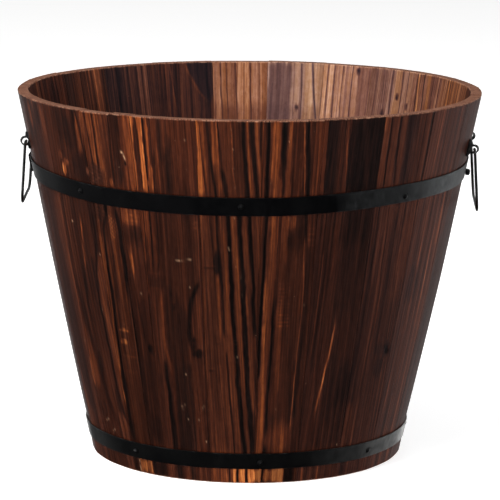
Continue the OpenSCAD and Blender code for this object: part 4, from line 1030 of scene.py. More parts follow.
# --------------------------------------------------------------------- hoops
def make_hoop(name, upper):
    bag = Bag()
    width = (15.0 if upper else 13.5) / CT
    thick = HOOP_T
    if upper:
        start, lap0, end, sign, spring = 257.5, 253.0, 268.0, 1, 3.4
        nails = [n[0] for n in UPPER_NAILS]
        mid = lambda a: upper_mid(a) + hoop_wave(a)
    else:
        start, lap0, end, sign, spring = 217.5, 222.0, 210.0, -1, .9
        nails = [-42, 4.5, 47, 91, 137, 181, 216, 262]
        mid = lambda a: 19.5
    # one strip: starts under the lap, goes once round and ends on top of its own start
    total = 360.0 + sign * (end - start)
    steps = int(total / .5)
    cs, nd, wd, wi = [], [], [], []
    for k in range(steps + 1):
        u = total * k / steps
        a = start + sign * u
        past = u - (360.0 + sign * (lap0 - start))     # degrees past the place where it leaves its lower layer
        lift = 0.0
        if past > -5:
            lift = .68 * float(smooth((past + 5) / 5.0))
        z = mid(a) if past <= 0 or not upper else mid(lap0) - r_out(244) * math.radians(past) * math.tan(math.radians(5.0))
        p, n, up, w = wall_frame(a, z)
        if past > 0:
            run = r_out(z) * math.radians(past)
            lift += (run - .8 * (1 - math.exp(-run / .8))) * math.tan(math.radians(spring))
        q = .1 + thick / 2 + lift
        wav = .10 * math.sin(math.radians(a) * 5 + 1.0) + .07 * math.sin(math.radians(a) * 13 + 2.2) + .05 * math.sin(math.radians(a) * 29)
        for na in nails:
            d = abs((a - na + 180) % 360 - 180) * math.radians(1) * r_out(z)
            if d < 9 and not (past > 0 and na not in (260, 216)):
                q -= .07 * math.exp(-(d / 3.5) ** 2)
        slope = math.radians(math.degrees(math.atan(r_out(z) * math.tan(math.radians(1.5)) * math.sin(math.radians(a)) / r_out(z)))) if upper else 0.0
        upd = up + w * 0.0
        cs.append(p + n * q + up * wav * .6)
        nd.append(n)
        wd.append(upd)
        # rounded corners at the two ends
        de = min(u, total - u) * math.radians(1) * r_out(z)
        cut = 3.0
        shrink = 0.0
        if de < cut:
            shrink = cut - math.sqrt(max(cut * cut - (cut - de) ** 2, 0))
        wi.append(width - 2 * shrink * .9 + .10 * math.sin(math.radians(a) * 17))
    v, f, wear = ribbon(cs, nd, wd, wi, thick, corner=.3)
    # painted reflection and dust: a pale colour laid on by azimuth where the hoops' sheen shows at the sides (the lower
    # hoop almost white near 74–80° on the right), and dusty grey toward the back, mostly on the upper hoop
    az = (np.degrees(np.arctan2(v[:, 0], -v[:, 1])) + 180) % 360 - 180
    if upper:
        sheen_and_dust = np.interp(az, (-180, -120, -95, -84, -78, -73, -60, -55, 22, 28, 36, 44, 52, 58, 64, 70, 76, 84, 110, 140, 180),
                         (.15, .1, .04, .05, .02, .01, .03, 0, 0, .09, .10, .13, .28, .40, .53, .56, .12, .05, .30, .3, .15))
    else:
        sheen_and_dust = np.interp(az, (-180, -120, -84, -79, -73, -64, -56, -48, 20, 34, 42, 50, 56, 62, 68, 74, 80, 95, 140, 180),
                         (.03, .06, .4, .2, .01, .02, .010, 0, 0, .015, .022, .055, .08, .12, .17, .62, .9, .3, .1, .03))
    sheen_mottle = .40 * noise(az / 1.7, v[:, 2] / 1.6, 17) + .30 * noise(az / .5, v[:, 2] / .6, 18)
    sheen_and_dust = np.clip(sheen_and_dust * (1 + sheen_mottle), 0, 1)
    bag.add(v, f, wear, sheen_and_dust)
    return bag.make(name, angle=45)


def nail_profile(r, h, shank_r, length, seat=0.0):
    """Domed nail head and shank, the head standing on z = 0."""
    prof = [(0, h)]
    big = (r * r + h * h) / (2 * h)
    for a in (.12, .25, .4, .55, .7, .82, .91, .965):
        rr = r * a
        prof.append((rr, math.sqrt(big * big - rr * rr) - (big - h)))
    prof += [(r * .992, h * .16), (r, h * .05), (r * .985, -.0), (r * .93, -.03), (shank_r + .1, -.04), (shank_r, -.15), (shank_r, -length + 1.2), (.3, -length), (0, -length)]
    return prof


def make_nails(name, which):
    bag = Bag()
    if which == "upper":
        items = [(a, upper_mid(a) - d, 8.5, (1.95 if a == 260 else 0.0)) for a, d in UPPER_NAILS]
    else:
        items = [(a, 18.5, 20.5, (.8 if a == 216 else 0.0)) for a in (-42, 4.5, 47, 91, 137, 181, 216, 262)]
    for k, (a, z, length, proud) in enumerate(items):
        r = 2.45 - .1 * (k % 3)
        prof = nail_profile(r, 1.45 + .05 * (k % 2), 1.1, min(length, 8.0) + proud)
        if a == 84:
            # the thick head beside the right handle
            prof = [(0, 3.8), (.7, 3.76), (1.4, 3.62), (2.0, 3.38), (2.45, 3.02), (2.70, 2.6), (2.78, 2.1), (2.68, 1.9), (2.68, 1.75), (2.78, 1.55), (2.78, .5),
                    (2.7, .2), (2.5, .02), (1.2, -.02), (1.1, -.15), (1.1, -6.8), (.3, -8.0), (0, -8.0)]
        v, f = lathe(prof, 28, wobble=.018, seed=int(a * 10) + 500)
        head = v[:, 2] > -.1
        wear = np.where(head, np.clip(1.15 - np.abs(np.hypot(v[:, 0], v[:, 1]) / r - .0) * 1.0, 0, 1), .2)
        tip = (.03 * math.sin(k * 2.1), .03 * math.cos(k * 1.3))
        if a == 84:
            tip = (.05, .03)
        bag.add(place(v, a, z, ON_HOOP + proud, roll=k * .7, tip=tip), f, wear)
    return bag.make(name)


def make_rivets():
    bag = Bag()
    for a, z, over in ((255.5, upper_mid(255.5), 1.15), (219.0, 19.5, .8)):
        v, f = lathe(nail_profile(2.1, 1.1, 1.3, 2.0 + over), 26, wobble=.015, seed=int(a))
        bag.add(place(v, a, z, ON_HOOP + over), f, np.clip(1.1 - np.hypot(v[:, 0], v[:, 1]) / 2.1, 0, 1))
    return bag.make("metal_hoop_rivets")


# ----------------------------------------------------------- saddles, handles
SPAN, DROP, WIRE = 88.0, 51.0, 2.4
SADDLE_Y = SPAN / 2 - 5.5
PIVOTS = {1: (187.9, 262.5, -2.0), -1: (185.5, 265.5, 0.0)}     # side: distance from the axis, height, turn
EYES = {(1, False): (-.2, 2.45), (1, True): (-.4, 2.6), (-1, False): (.45, 2.7), (-1, True): (-.4, 2.6)}     # out past the wire, radius


def saddle_at(side, back):
    """Azimuth, distance of the eye from the wall, foot height and eye radius of one saddle."""
    px, pz, turn = PIVOTS[side]
    out, radius = EYES[side, back]
    px += out
    off = (math.hypot(px, SADDLE_Y) - r_out(pz + .9)) * CT
    az = math.degrees(math.atan2(px, SADDLE_Y))
    a = (180 - az if back else az) + turn if side > 0 else (180 + az if back else -az)
    return a, off, pz + .9 + off * ST, radius


def make_saddle(name, side, back):
    """Two feet on the wall that run together into a round eye."""
    a, off, foot, eye = saddle_at(side, back)
    base, n, up, w = wall_frame(a, foot)
    hole, ro, ft, fl = eye + .04, eye + 1.17, 1.12, 7.35

    def within(x, q):
        x = abs(x)
        web = 0 <= q <= off and x <= (3.85 if q <= ft else 3.85 + (eye + .55 - 3.85) * (q - ft) / max(off - ft, .1))
        fil = q <= ft + 1.1 and x <= 3.85 + 1.1 and (x - 4.95) ** 2 + (q - ft - 1.1) ** 2 >= 1.21 and x < 4.95
        return q >= .02 and (x * x + (q - off) ** 2 <= ro * ro or web or fil or (x <= fl and q <= ft))

    ang = set(np.linspace(-180, 180, 97)[:-1])
    for x, q in ((3.85, ft), (fl, ft), (fl, .02), (4.95, ft)):
        for sx in (-1, 1):
            for e in (-.25, .25):
                ang.add(math.degrees(math.atan2(q - off, sx * x)) + e)
    ang = sorted(ang)
    rows = [[] for _ in range(8)]
    wear = [[] for _ in range(8)]
    for d in ang:
        cx, cq = math.cos(math.radians(d)), math.sin(math.radians(d))
        steps = np.arange(ro - .3, 14, .02)
        far = max([ro - .3] + [t for t in steps if within(cx * t, off + cq * t)])
        x, q = cx * far, off + cq * far
        hw = 2.55
        if abs(x) > 5.2 and q < ft + .1:
            hw = 2.55 - 1.1 * (abs(x) - 5.2) / (fl - 5.2) * ((abs(x) - 5.2) / (fl - 5.2))
        hx, hq = cx * hole, off + cq * hole
        ix, iq = cx * (far - .22), off + cq * (far - .22)
        jx, jq = cx * (hole + .2), off + cq * (hole + .2)
        for k, (px_, pq, pw, wr) in enumerate(((hx, hq, 2.4 if q > .5 else hw - .2, .6), (jx, jq, 2.55, .8), (ix, iq, hw, .5), (x, q, hw - .22, 1.0),
                                               (x, q, -(hw - .22), 1.0), (ix, iq, -hw, .5), (jx, jq, -2.55, .8), (hx, hq, -2.4, .6))):
            rows[k].append(base + (-up) * px_ + n * pq + w * pw)
            wear[k].append(wr)
    m = len(ang)
    f = []
    for k in range(8):
        for t in range(m):
            u = (t + 1) % m
            f.append((k * m + t, k * m + u, ((k + 1) % 8) * m + u, ((k + 1) % 8) * m + t))
    bag = Bag()
    bag.add(np.array(sum(rows, [])), f, np.array(sum(wear, [])))
    return bag.make(name, angle=38)


def make_saddle_nails():
    bag = Bag()
    k = 0
    for side, back in ((1, False), (1, True), (-1, False), (-1, True)):
        s, off, foot, _ = saddle_at(side, back)
        for x in (-5.8, 5.8):
            v, f = lathe(nail_profile(1.45, .55, .8, 6.0), 22, wobble=.02, seed=40 + k)
            bag.add(place(v, s, foot - x * CT, 1.2, roll=k), f, np.clip(1.1 - np.hypot(v[:, 0], v[:, 1]) / 1.7, 0, 1))
            k += 1
    return bag.make("metal_saddle_nails")


def make_handle(name, side):
    """A bail of round wire. side is +1 at the right and -1 at the left."""
    y0, tight, corner = SPAN / 2, 2.5, 11.0
    px, pz, turn = PIVOTS[side]
    ct, st = math.cos(math.radians(turn)), math.sin(math.radians(turn))
    half = []
    # from the end inside the eye to the middle of the grip, at +y
    half += [(SADDLE_Y - 5.3, 0.0), (SADDLE_Y - 4.0, 0.0), (SADDLE_Y - 2.0, .05), (SADDLE_Y, .05), (SADDLE_Y + 1.5, .0), (y0 - tight, 0.0)]
    for d in (18, 36, 54, 72, 90):
        t = math.radians(d)
        half.append((y0 - tight + tight * math.sin(t), -tight + tight * math.cos(t)))
    for z in np.linspace(-5, -(DROP - corner - 1.5), 9):
        half.append((y0 + .12 * math.sin(z * .35), z))
    for d in range(0, 91, 9):
        t = math.radians(d)
        half.append((y0 - corner + corner * math.cos(t), -(DROP - corner) - corner * math.sin(t)))
    for y in np.linspace(y0 - corner - 3, 2.5, 8):
        half.append((y, -DROP + .10 * math.sin(y * .21)))
    pts = [(y, z) for y, z in half] + [(-y, z) for y, z in reversed(half)]
    lean = math.radians(3.5)
    P = []
    for y, z in pts:
        x = -z * math.sin(lean)
        X = side * (px + x)
        P.append((X * ct - y * st, X * st + y * ct, pz + z * math.cos(lean)))
    P = np.array(P)
    T = np.gradient(P, axis=0)
    T /= np.linalg.norm(T, axis=1)[:, None]
    axis = np.array([side * math.cos(lean) * ct, side * math.cos(lean) * st, math.sin(lean)])
    segs, r = 16, WIRE / 2
    v = []
    for p, t in zip(P, T):
        b = axis - t * (axis @ t)
        b /= np.linalg.norm(b)
        c = np.cross(t, b)
        for s in range(segs):
            a = 2 * math.pi * s / segs
            v.append(p + r * (math.cos(a) * b + math.sin(a) * c))
    v = np.array(v)
    # rounded ends
    f = []
    rows = len(P)
    for k in range(rows - 1):
        for s in range(segs):
            t = (s + 1) % segs
            f.append((k * segs + s, k * segs + t, (k + 1) * segs + t, (k + 1) * segs + s))
    verts = [v]
    count = len(v)
    for end, sgn in ((0, -1), (rows - 1, 1)):
        prev = [end * segs + s for s in range(segs)]
        for sh, ad in ((.86, .22), (.55, .38)):
            ring = P[end] + (v[end * segs:(end + 1) * segs] - P[end]) * sh + T[end] * sgn * ad
            verts.append(ring)
            cur = [count + s for s in range(segs)]
            count += segs
            for s in range(segs):
                t = (s + 1) % segs
                f.append((prev[s], prev[t], cur[t], cur[s]))
            prev = cur
        verts.append((P[end] + T[end] * sgn * .42)[None])
        for s in range(segs):
            f.append((prev[s], prev[(s + 1) % segs], count))
        count += 1
    bag = Bag()
    allv = np.concatenate(verts)
    # paint is rubbed where the wire turns in its eye, and a little all along the wire
    yy = np.abs(allv[:, 1])
    wear = np.clip(1 - np.abs(yy - SADDLE_Y) / 9.0, 0, 1) * (allv[:, 2] > pz - 3) + .25
    bag.add(allv, f, wear)
    return bag.make(name, angle=50)


# ----------------------------------------------------------------- materials
def new_material(name):
    m = bpy.data.materials.new(name)
    m.use_nodes = True
    nt = m.node_tree
    nt.nodes.clear()
    out = nt.nodes.new("ShaderNodeOutputMaterial")
    bsdf = nt.nodes.new("ShaderNodeBsdfPrincipled")
    nt.links.new(bsdf.outputs[0], out.inputs[0])
    return m, nt, bsdf


class N:
    """Short names for building node trees."""

    def __init__(self, nt):
        self.nt = nt

    def _set(self, sock, v):
        if isinstance(v, bpy.types.NodeSocket):
            self.nt.links.new(v, sock)
        elif v is not None:
            sock.default_value = v

    def attr(self, name, out="Fac"):
        n = self.nt.nodes.new("ShaderNodeAttribute")
        n.attribute_name = name
        return n.outputs[out]

    def math(self, op, a, b=None, c=None, clamp=False):
        n = self.nt.nodes.new("ShaderNodeMath")
        n.operation = op
        n.use_clamp = clamp
        self._set(n.inputs[0], a)
        self._set(n.inputs[1], b)
        if c is not None:
            self._set(n.inputs[2], c)
        return n.outputs[0]

    def vmul(self, v, xyz):
        n = self.nt.nodes.new("ShaderNodeVectorMath")
        n.operation = "MULTIPLY"
        self._set(n.inputs[0], v)
        n.inputs[1].default_value = xyz
        return n.outputs[0]

    def vadd(self, v, w):
        n = self.nt.nodes.new("ShaderNodeVectorMath")
        n.operation = "ADD"
        self._set(n.inputs[0], v)
        self._set(n.inputs[1], w)
        return n.outputs[0]

    def noise(self, vec, scale=1.0, detail=2.0, rough=.5, dist=0.0):
        n = self.nt.nodes.new("ShaderNodeTexNoise")
        self._set(n.inputs["Vector"], vec)
        n.inputs["Scale"].default_value = scale
        n.inputs["Detail"].default_value = detail
        n.inputs["Roughness"].default_value = rough
        n.inputs["Distortion"].default_value = dist
        return n.outputs["Fac"]

    def voronoi(self, vec, scale=1.0, out="Distance"):
        n = self.nt.nodes.new("ShaderNodeTexVoronoi")
        self._set(n.inputs["Vector"], vec)
        n.inputs["Scale"].default_value = scale
        return n

    def white(self, v):
        n = self.nt.nodes.new("ShaderNodeTexWhiteNoise")
        n.noise_dimensions = "1D"
        self._set(n.inputs["W"], v)
        return n.outputs["Value"]

    def span(self, v, a, b, c=0.0, d=1.0, smoothed=True):
        n = self.nt.nodes.new("ShaderNodeMapRange")
        n.interpolation_type = "SMOOTHSTEP" if smoothed else "LINEAR"
        self._set(n.inputs[0], v)
        for k, val in zip((1, 2, 3, 4), (a, b, c, d)):
            self._set(n.inputs[k], val)
        return n.outputs[0]

    def ramp(self, v, stops, interp="LINEAR"):
        n = self.nt.nodes.new("ShaderNodeValToRGB")
        n.color_ramp.interpolation = interp
        e = n.color_ramp.elements
        e[0].position, e[1].position = stops[0][0], stops[-1][0]
        e[0].color, e[1].color = (*stops[0][1], 1), (*stops[-1][1], 1)
        for p, c in stops[1:-1]:
            k = e.new(p)
            k.color = (*c, 1)
        self._set(n.inputs[0], v)
        return n.outputs[0]

    def mix(self, f, a, b, mode="MIX"):
        n = self.nt.nodes.new("ShaderNodeMix")
        n.data_type = "RGBA"
        n.blend_type = mode
        self._set(n.inputs[0], f)
        for s, v in ((n.inputs[6], a), (n.inputs[7], b)):
            if isinstance(v, tuple):
                s.default_value = (*v, 1)
            else:
                self._set(s, v)
        return n.outputs[2]

    def bump(self, h, dist, strength=1.0, normal=None):
        n = self.nt.nodes.new("ShaderNodeBump")
        n.inputs["Strength"].default_value = strength
        n.inputs["Distance"].default_value = dist
        self._set(n.inputs["Height"], h)
        if normal is not None:
            self._set(n.inputs["Normal"], normal)
        return n.outputs[0]


def srgb(r, g, b, k=1.0):
    def lin(c):
        c /= 255.0
        return (c / 12.92 if c <= .04045 else ((c + .055) / 1.055) ** 2.4) * k
    return (lin(r), lin(g), lin(b))


LIFT = 1.0
WARM = [(0.0, srgb(12, 9, 11, LIFT)), (.10, srgb(22, 14, 15, LIFT)), (.25, srgb(38, 20, 17, LIFT)), (.40, srgb(54, 27, 19, LIFT)),
        (.55, srgb(72, 37, 23, LIFT)), (.70, srgb(102, 56, 30, LIFT)), (.85, srgb(142, 86, 46, LIFT)), (1.0, srgb(192, 132, 82, LIFT))]
COOL = [(0.0, srgb(13, 11, 15, LIFT)), (.10, srgb(23, 17, 21, LIFT)), (.25, srgb(38, 24, 25, LIFT)), (.40, srgb(55, 33, 30, LIFT)),
        (.55, srgb(74, 46, 40, LIFT)), (.70, srgb(102, 67, 57, LIFT)), (.85, srgb(134, 96, 82, LIFT)), (1.0, srgb(172, 132, 114, LIFT))]


def wood_material():
    m, nt, bsdf = new_material("burnt_wood_satin")
    k = N(nt)
    tone, cool, mark = k.attr("tone"), k.attr("cool"), k.attr("mark")
    phi, ring, endg, wear = k.attr("phi"), k.attr("ring"), k.attr("endg"), k.attr("wear")
    grain = k.attr("grain", "Vector")
    # fibres: long thin noise at three widths
    f1 = k.noise(k.vmul(grain, (1 / 1.1, 1 / 42.0, 1.0)), detail=3.0, rough=.6)
    f2 = k.noise(k.vmul(grain, (1 / .42, 1 / 11.0, 1.0)), detail=2.0, rough=.65)
    f3 = k.noise(k.vmul(grain, (1 / 4.0, 1 / 6.0, 1.0)), detail=4.0, rough=.6)
    # late wood of the growth rings: dark, sharp on one side
    wob = k.math("MULTIPLY_ADD", f1, .35, k.math("MULTIPLY", f2, .18))
    ph = k.math("ADD", phi, wob)
    fr = k.math("FRACT", ph)
    late = k.math("MULTIPLY", k.span(fr, .45, .93), k.span(fr, .94, 1.0, 1.0, 0.0))
    band = k.math("SUBTRACT", k.white(k.math("FLOOR", ph)), .5)
    lines = k.math("ADD", k.math("MULTIPLY", late, -.26), k.math("MULTIPLY", band, .18))
    t = k.math("MULTIPLY_ADD", lines, ring, tone)
    crisp = k.math("SUBTRACT", 1.0, k.attr("soft"))
    t = k.math("MULTIPLY_ADD", k.math("MULTIPLY", k.math("SUBTRACT", f1, .5), .40), crisp, t)
    t = k.math("MULTIPLY_ADD", k.math("MULTIPLY", k.math("SUBTRACT", f2, .5), .34), crisp, t)
    t = k.math("MULTIPLY_ADD", k.math("SUBTRACT", f3, .5), .14, t)
    # pores: short dark dashes
    pore = k.span(k.noise(k.vmul(grain, (1 / .5, 1 / 4.5, 1.0)), detail=1.0), .66, .76)
    t = k.math("MULTIPLY_ADD", pore, -.09, t)
    t = k.math("ADD", t, k.math("MULTIPLY", wear, k.math("MULTIPLY_ADD", f3, .5, -.10)), clamp=True)
    cl = k.math("ADD", cool, k.math("MULTIPLY_ADD", f3, .5, -.25), clamp=True)
    col = k.mix(cl, k.ramp(t, WARM), k.ramp(t, COOL))
    # each board's colour factors multiply in here: partly stain, partly painted sheen and light on the side boards and
    # the lit inner wall
    col = k.mix(1.0, col, k.attr("stain_and_light", "Color"), "MULTIPLY")
    # end grain of the rim
    rimc = k.ramp(k.math("MULTIPLY_ADD", f2, .8, k.math("MULTIPLY_ADD", late, -.35, .25)), [(0.0, srgb(26, 16, 13)), (.36, srgb(74, 46, 35)), (.7, srgb(118, 80, 63)), (1.0, srgb(168, 126, 102))])
    col = k.mix(k.math("MULTIPLY", endg, .85), col, rimc)
    # arrises rubbed pale in places
    rub = k.math("MULTIPLY", wear, k.span(k.math("MULTIPLY_ADD", f3, .6, k.math("MULTIPLY", f2, .4)), .47, .58))
    col = k.mix(k.math("MULTIPLY", rub, .55, clamp=True), col, srgb(180, 138, 114))
    # pale scratches and specks of bare fibre
    vor = k.voronoi(k.vmul(grain, (1 / 8.0, 1 / 9.0, 1.0)))
    sp = k.math("MULTIPLY", k.span(vor.outputs["Distance"], .025, .06, 1.0, 0.0), k.span(k.math("MULTIPLY", f1, f3), .30, .34))
    mk = k.math("MAXIMUM", mark, k.math("MULTIPLY", sp, .22), clamp=True)
    col = k.mix(mk, col, srgb(196, 152, 116))
    nt.links.new(col, bsdf.inputs["Base Color"])
    rough = k.math("MULTIPLY_ADD", f1, .22, k.math("MULTIPLY_ADD", f3, .16, .26))
    rough = k.math("ADD", rough, k.math("MULTIPLY", endg, .25))
    rough = k.math("ADD", rough, k.span(t, .0, .25, .10, 0.0), clamp=True)
    nt.links.new(rough, bsdf.inputs["Roughness"])
    hgt = k.math("ADD", k.math("MULTIPLY", f2, .35), k.math("MULTIPLY", f1, .4))
    hgt = k.math("ADD", hgt, k.math("MULTIPLY", late, .25))
    hgt = k.math("SUBTRACT", hgt, k.math("MULTIPLY", pore, .35))
    nt.links.new(k.bump(hgt, .00022, .55), bsdf.inputs["Normal"])
    bsdf.inputs["Specular IOR Level"].default_value = .10
    bsdf.inputs["IOR"].default_value = 1.45
    return m


def board_material():
    """Planks and cleats of the bottom: plain stained softwood, grain along each piece."""
    m, nt, bsdf = new_material("bottom_wood_stained")
    k = N(nt)
    tc = nt.nodes.new("ShaderNodeTexCoord")
    p = tc.outputs["Object"]
    sep = nt.nodes.new("ShaderNodeSeparateXYZ")
    nt.links.new(p, sep.inputs[0])
    x, y, z = sep.outputs
    # each 50 mm plank gets its own offset
    plank = k.math("FLOOR", k.math("MULTIPLY_ADD", y, 20.0, 0.5))
    low = k.math("LESS_THAN", z, .01399)
    # cleats run along Y, planks along X
    across = k.math("ADD", k.math("MULTIPLY", y, k.math("SUBTRACT", 1.0, low)), k.math("MULTIPLY", x, low))
    along = k.math("ADD", k.math("MULTIPLY", x, k.math("SUBTRACT", 1.0, low)), k.math("MULTIPLY", y, low))
    comb = nt.nodes.new("ShaderNodeCombineXYZ")
    nt.links.new(k.math("MULTIPLY", across, 1000.0), comb.inputs[0])
    nt.links.new(k.math("MULTIPLY", along, 1000.0), comb.inputs[1])
    nt.links.new(k.math("MULTIPLY", k.math("MULTIPLY_ADD", low, 7.0, plank), 5.3), comb.inputs[2])
    g = comb.outputs[0]
    f1 = k.noise(k.vmul(g, (1 / 1.6, 1 / 60.0, 1.0)), detail=3.0, rough=.6)
    f2 = k.noise(k.vmul(g, (1 / .5, 1 / 14.0, 1.0)), detail=2.0, rough=.6)
    f3 = k.noise(k.vmul(g, (1 / 9.0, 1 / 120.0, 1.0)), detail=3.0, rough=.5)
    ph = k.math("ADD", k.math("MULTIPLY", f3, 9.0), k.math("MULTIPLY", f2, .25))
    fr = k.math("FRACT", ph)
    late = k.math("MULTIPLY", k.span(fr, .4, .92), k.span(fr, .93, 1.0, 1.0, 0.0))
    t = k.math("MULTIPLY_ADD", late, -.25, .50)
    t = k.math("MULTIPLY_ADD", k.math("SUBTRACT", f1, .5), .5, t)
    t = k.math("MULTIPLY_ADD", k.math("SUBTRACT", f2, .5), .35, t)
    wn = k.white(k.math("MULTIPLY_ADD", low, 9.0, plank))
    t = k.math("MULTIPLY_ADD", k.math("SUBTRACT", wn, .3), .30, t, clamp=True)
    col = k.ramp(t, [(0.0, srgb(24, 15, 13)), (.3, srgb(52, 30, 22)), (.6, srgb(92, 56, 38)), (1.0, srgb(140, 92, 62))])
    vor = k.voronoi(k.vmul(g, (1 / 46.0, 1 / 130.0, 1.0)))
    kn = k.span(vor.outputs["Distance"], .05, .09, 1.0, 0.0)
    col = k.mix(k.math("MULTIPLY", kn, .8), col, srgb(26, 15, 12))
    # the open joints between two planks
    off = k.math("ABSOLUTE", k.math("SUBTRACT", k.math("FRACT", k.math("MULTIPLY_ADD", y, 20.0, 0.5)), .5))
    joint = k.math("MULTIPLY", k.span(off, .472, .488), k.math("SUBTRACT", 1.0, low))
    col = k.mix(k.math("MULTIPLY", joint, .9), col, srgb(10, 7, 6))
    nt.links.new(col, bsdf.inputs["Base Color"])
    nt.links.new(k.math("MULTIPLY_ADD", f1, .25, .42), bsdf.inputs["Roughness"])
    nt.links.new(k.bump(k.math("ADD", k.math("MULTIPLY", f2, .5), k.math("MULTIPLY", late, .5)), .0003, .6), bsdf.inputs["Normal"])
    bsdf.inputs["Specular IOR Level"].default_value = .3
    return m


def metal_material(name, dark, light, wear_col, rough0, spec, wear_amt=.5, metal=0.0, ior=1.5, sheen_tint=None):
    m, nt, bsdf = new_material(name)
    k = N(nt)
    tc = nt.nodes.new("ShaderNodeTexCoord")
    p = tc.outputs["Object"]
    n1 = k.noise(p, scale=55.0, detail=4.0, rough=.6)
    n2 = k.noise(p, scale=420.0, detail=3.0, rough=.65)
    n3 = k.noise(k.vmul(p, (1.0, 1.0, 7.0)), scale=150.0, detail=4.0, rough=.7)
    wear = k.attr("wear")
    base = k.mix(k.span(k.math("MULTIPLY_ADD", n2, .5, k.math("MULTIPLY", n1, .5)), .35, .65), dark, light)
    # painted sheen and dust: a pale colour, mixed in by azimuth, stands for the hoop's reflections at the sides and for
    # dust at the back
    if sheen_tint:
        base = k.mix(k.math("MULTIPLY", k.attr("sheen_and_dust"), k.math("MULTIPLY_ADD", n1, .5, k.math("MULTIPLY_ADD", n3, .3, .6)), clamp=True), base, sheen_tint)
    w = k.math("MULTIPLY", k.math("ADD", k.math("MULTIPLY", wear, .55), k.math("MULTIPLY_ADD", n1, .5, -.25)), k.span(n3, .46, .66))
    w = k.math("MULTIPLY", k.span(w, .22, .46), wear_amt)
    col = k.mix(w, base, wear_col)
    nt.links.new(col, bsdf.inputs["Base Color"])
    rough = k.math("MULTIPLY_ADD", n2, .22, k.math("MULTIPLY_ADD", n1, .16, rough0 - .18))
    nt.links.new(k.math("ADD", rough, k.math("MULTIPLY", w, .1), clamp=True), bsdf.inputs["Roughness"])
    nt.links.new(k.bump(k.math("ADD", k.math("MULTIPLY", n2, .6), k.math("MULTIPLY", n3, .3)), .00012, .5), bsdf.inputs["Normal"])
    bsdf.inputs["Specular IOR Level"].default_value = spec
    bsdf.inputs["Metallic"].default_value = metal
    bsdf.inputs["IOR"].default_value = ior
    return m


WOOD = wood_material()
BOARD = board_material()
# the pale tints of the two hoops are painted reflection: grey on the upper hoop, near white on the lower hoop's right
# side
HOOP = metal_material("black_hoop_paint", srgb(2, 2, 3), srgb(6, 6, 7), srgb(40, 40, 40), .42, .22, .35, sheen_tint=srgb(70, 72, 73))
HOOP_LOW = metal_material("black_foot_hoop_paint", srgb(3, 3, 4), srgb(8, 8, 8), srgb(46, 46, 46), .40, .24, .35, sheen_tint=srgb(182, 182, 180))
WIREM = metal_material("black_wire_steel", srgb(92, 94, 94), srgb(126, 128, 128), srgb(150, 150, 148), .30, .4, .5, metal=1.0)
SADDLEM = metal_material("black_saddle_paint", srgb(9, 9, 10), srgb(18, 18, 19), srgb(80, 78, 76), .42, .6, .5)
NAILM = metal_material("black_nail_steel", srgb(4, 4, 5), srgb(10, 10, 11), srgb(84, 84, 84), .34, .35, .35)


def finish_piece(ob, mat, slot, body, *nodes):
    ob.data.materials.clear()
    ob.data.materials.append(mat)
    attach(ob, body)
    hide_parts(*nodes)


for i in range(24):
    finish_piece(make_stave(i), WOOD, "burnt_wood", "tub", f"stave_{i + 1:02d}")
finish_piece(make_hoop("metal_upper_hoop", True), HOOP, "black_hoop_steel", "tub", "upper_hoop")
finish_piece(make_hoop("metal_lower_hoop", False), HOOP_LOW, "black_hoop_steel", "tub", "lower_hoop")
finish_piece(make_nails("metal_upper_nails", "upper"), NAILM, "black_nail_steel", "tub", "upper_hoop_nails")
finish_piece(make_nails("metal_lower_nails", "lower"), NAILM, "black_nail_steel", "tub", "lower_hoop_nails")
finish_piece(make_rivets(), NAILM, "black_nail_steel", "tub", "hoop_rivets")
finish_piece(make_saddle("metal_right_front_saddle", 1, False), SADDLEM, "black_saddle_steel", "tub", "right_front_saddle")
finish_piece(make_saddle("metal_right_back_saddle", 1, True), SADDLEM, "black_saddle_steel", "tub", "right_back_saddle")
finish_piece(make_saddle("metal_left_front_saddle", -1, False), SADDLEM, "black_saddle_steel", "tub", "left_front_saddle")
finish_piece(make_saddle("metal_left_back_saddle", -1, True), SADDLEM, "black_saddle_steel", "tub", "left_back_saddle")
finish_piece(make_saddle_nails(), NAILM, "black_nail_steel", "tub", "saddle_nails")
finish_piece(make_handle("wire_right_handle", 1), WIREM, "black_wire", "right_bail", "right_handle")
finish_piece(make_handle("wire_left_handle", -1), WIREM, "black_wire", "left_bail", "left_handle")


def eased_copy(name, width):
    """A modelled solid as a piece of its own, welded and with eased edges."""
    src = NODES[name]
    bm = bmesh.new()
    bm.from_mesh(src.data)
    bm.transform(src.matrix_world)
    bmesh.ops.remove_doubles(bm, verts=bm.verts[:], dist=1e-6)
    bm.verts.index_update()
    me = bpy.data.meshes.new("eased_" + name)
    me.from_pydata([v.co[:] for v in bm.verts], [], [[v.index for v in f.verts] for f in bm.faces])
    bm.free()
    ob = bpy.data.objects.new("eased_" + name, me)
    bpy.context.scene.collection.objects.link(ob)
    bev = ob.modifiers.new("eased", "BEVEL")
    bev.width = width
    bev.segments = 3
    bev.limit_method = "ANGLE"
    bev.angle_limit = math.radians(50)
    bev.harden_normals = False
    return ob


for name in ("bottom_board_1", "bottom_board_2", "bottom_board_3", "bottom_board_4", "bottom_board_5", "bottom_cleat_left", "bottom_cleat_right"):
    finish_piece(eased_copy(name, .0008), BOARD, "bottom_wood", "tub", name)
finish_piece(eased_copy("cleat_nails", .00025), NAILM, "black_nail_steel", "tub", "cleat_nails")

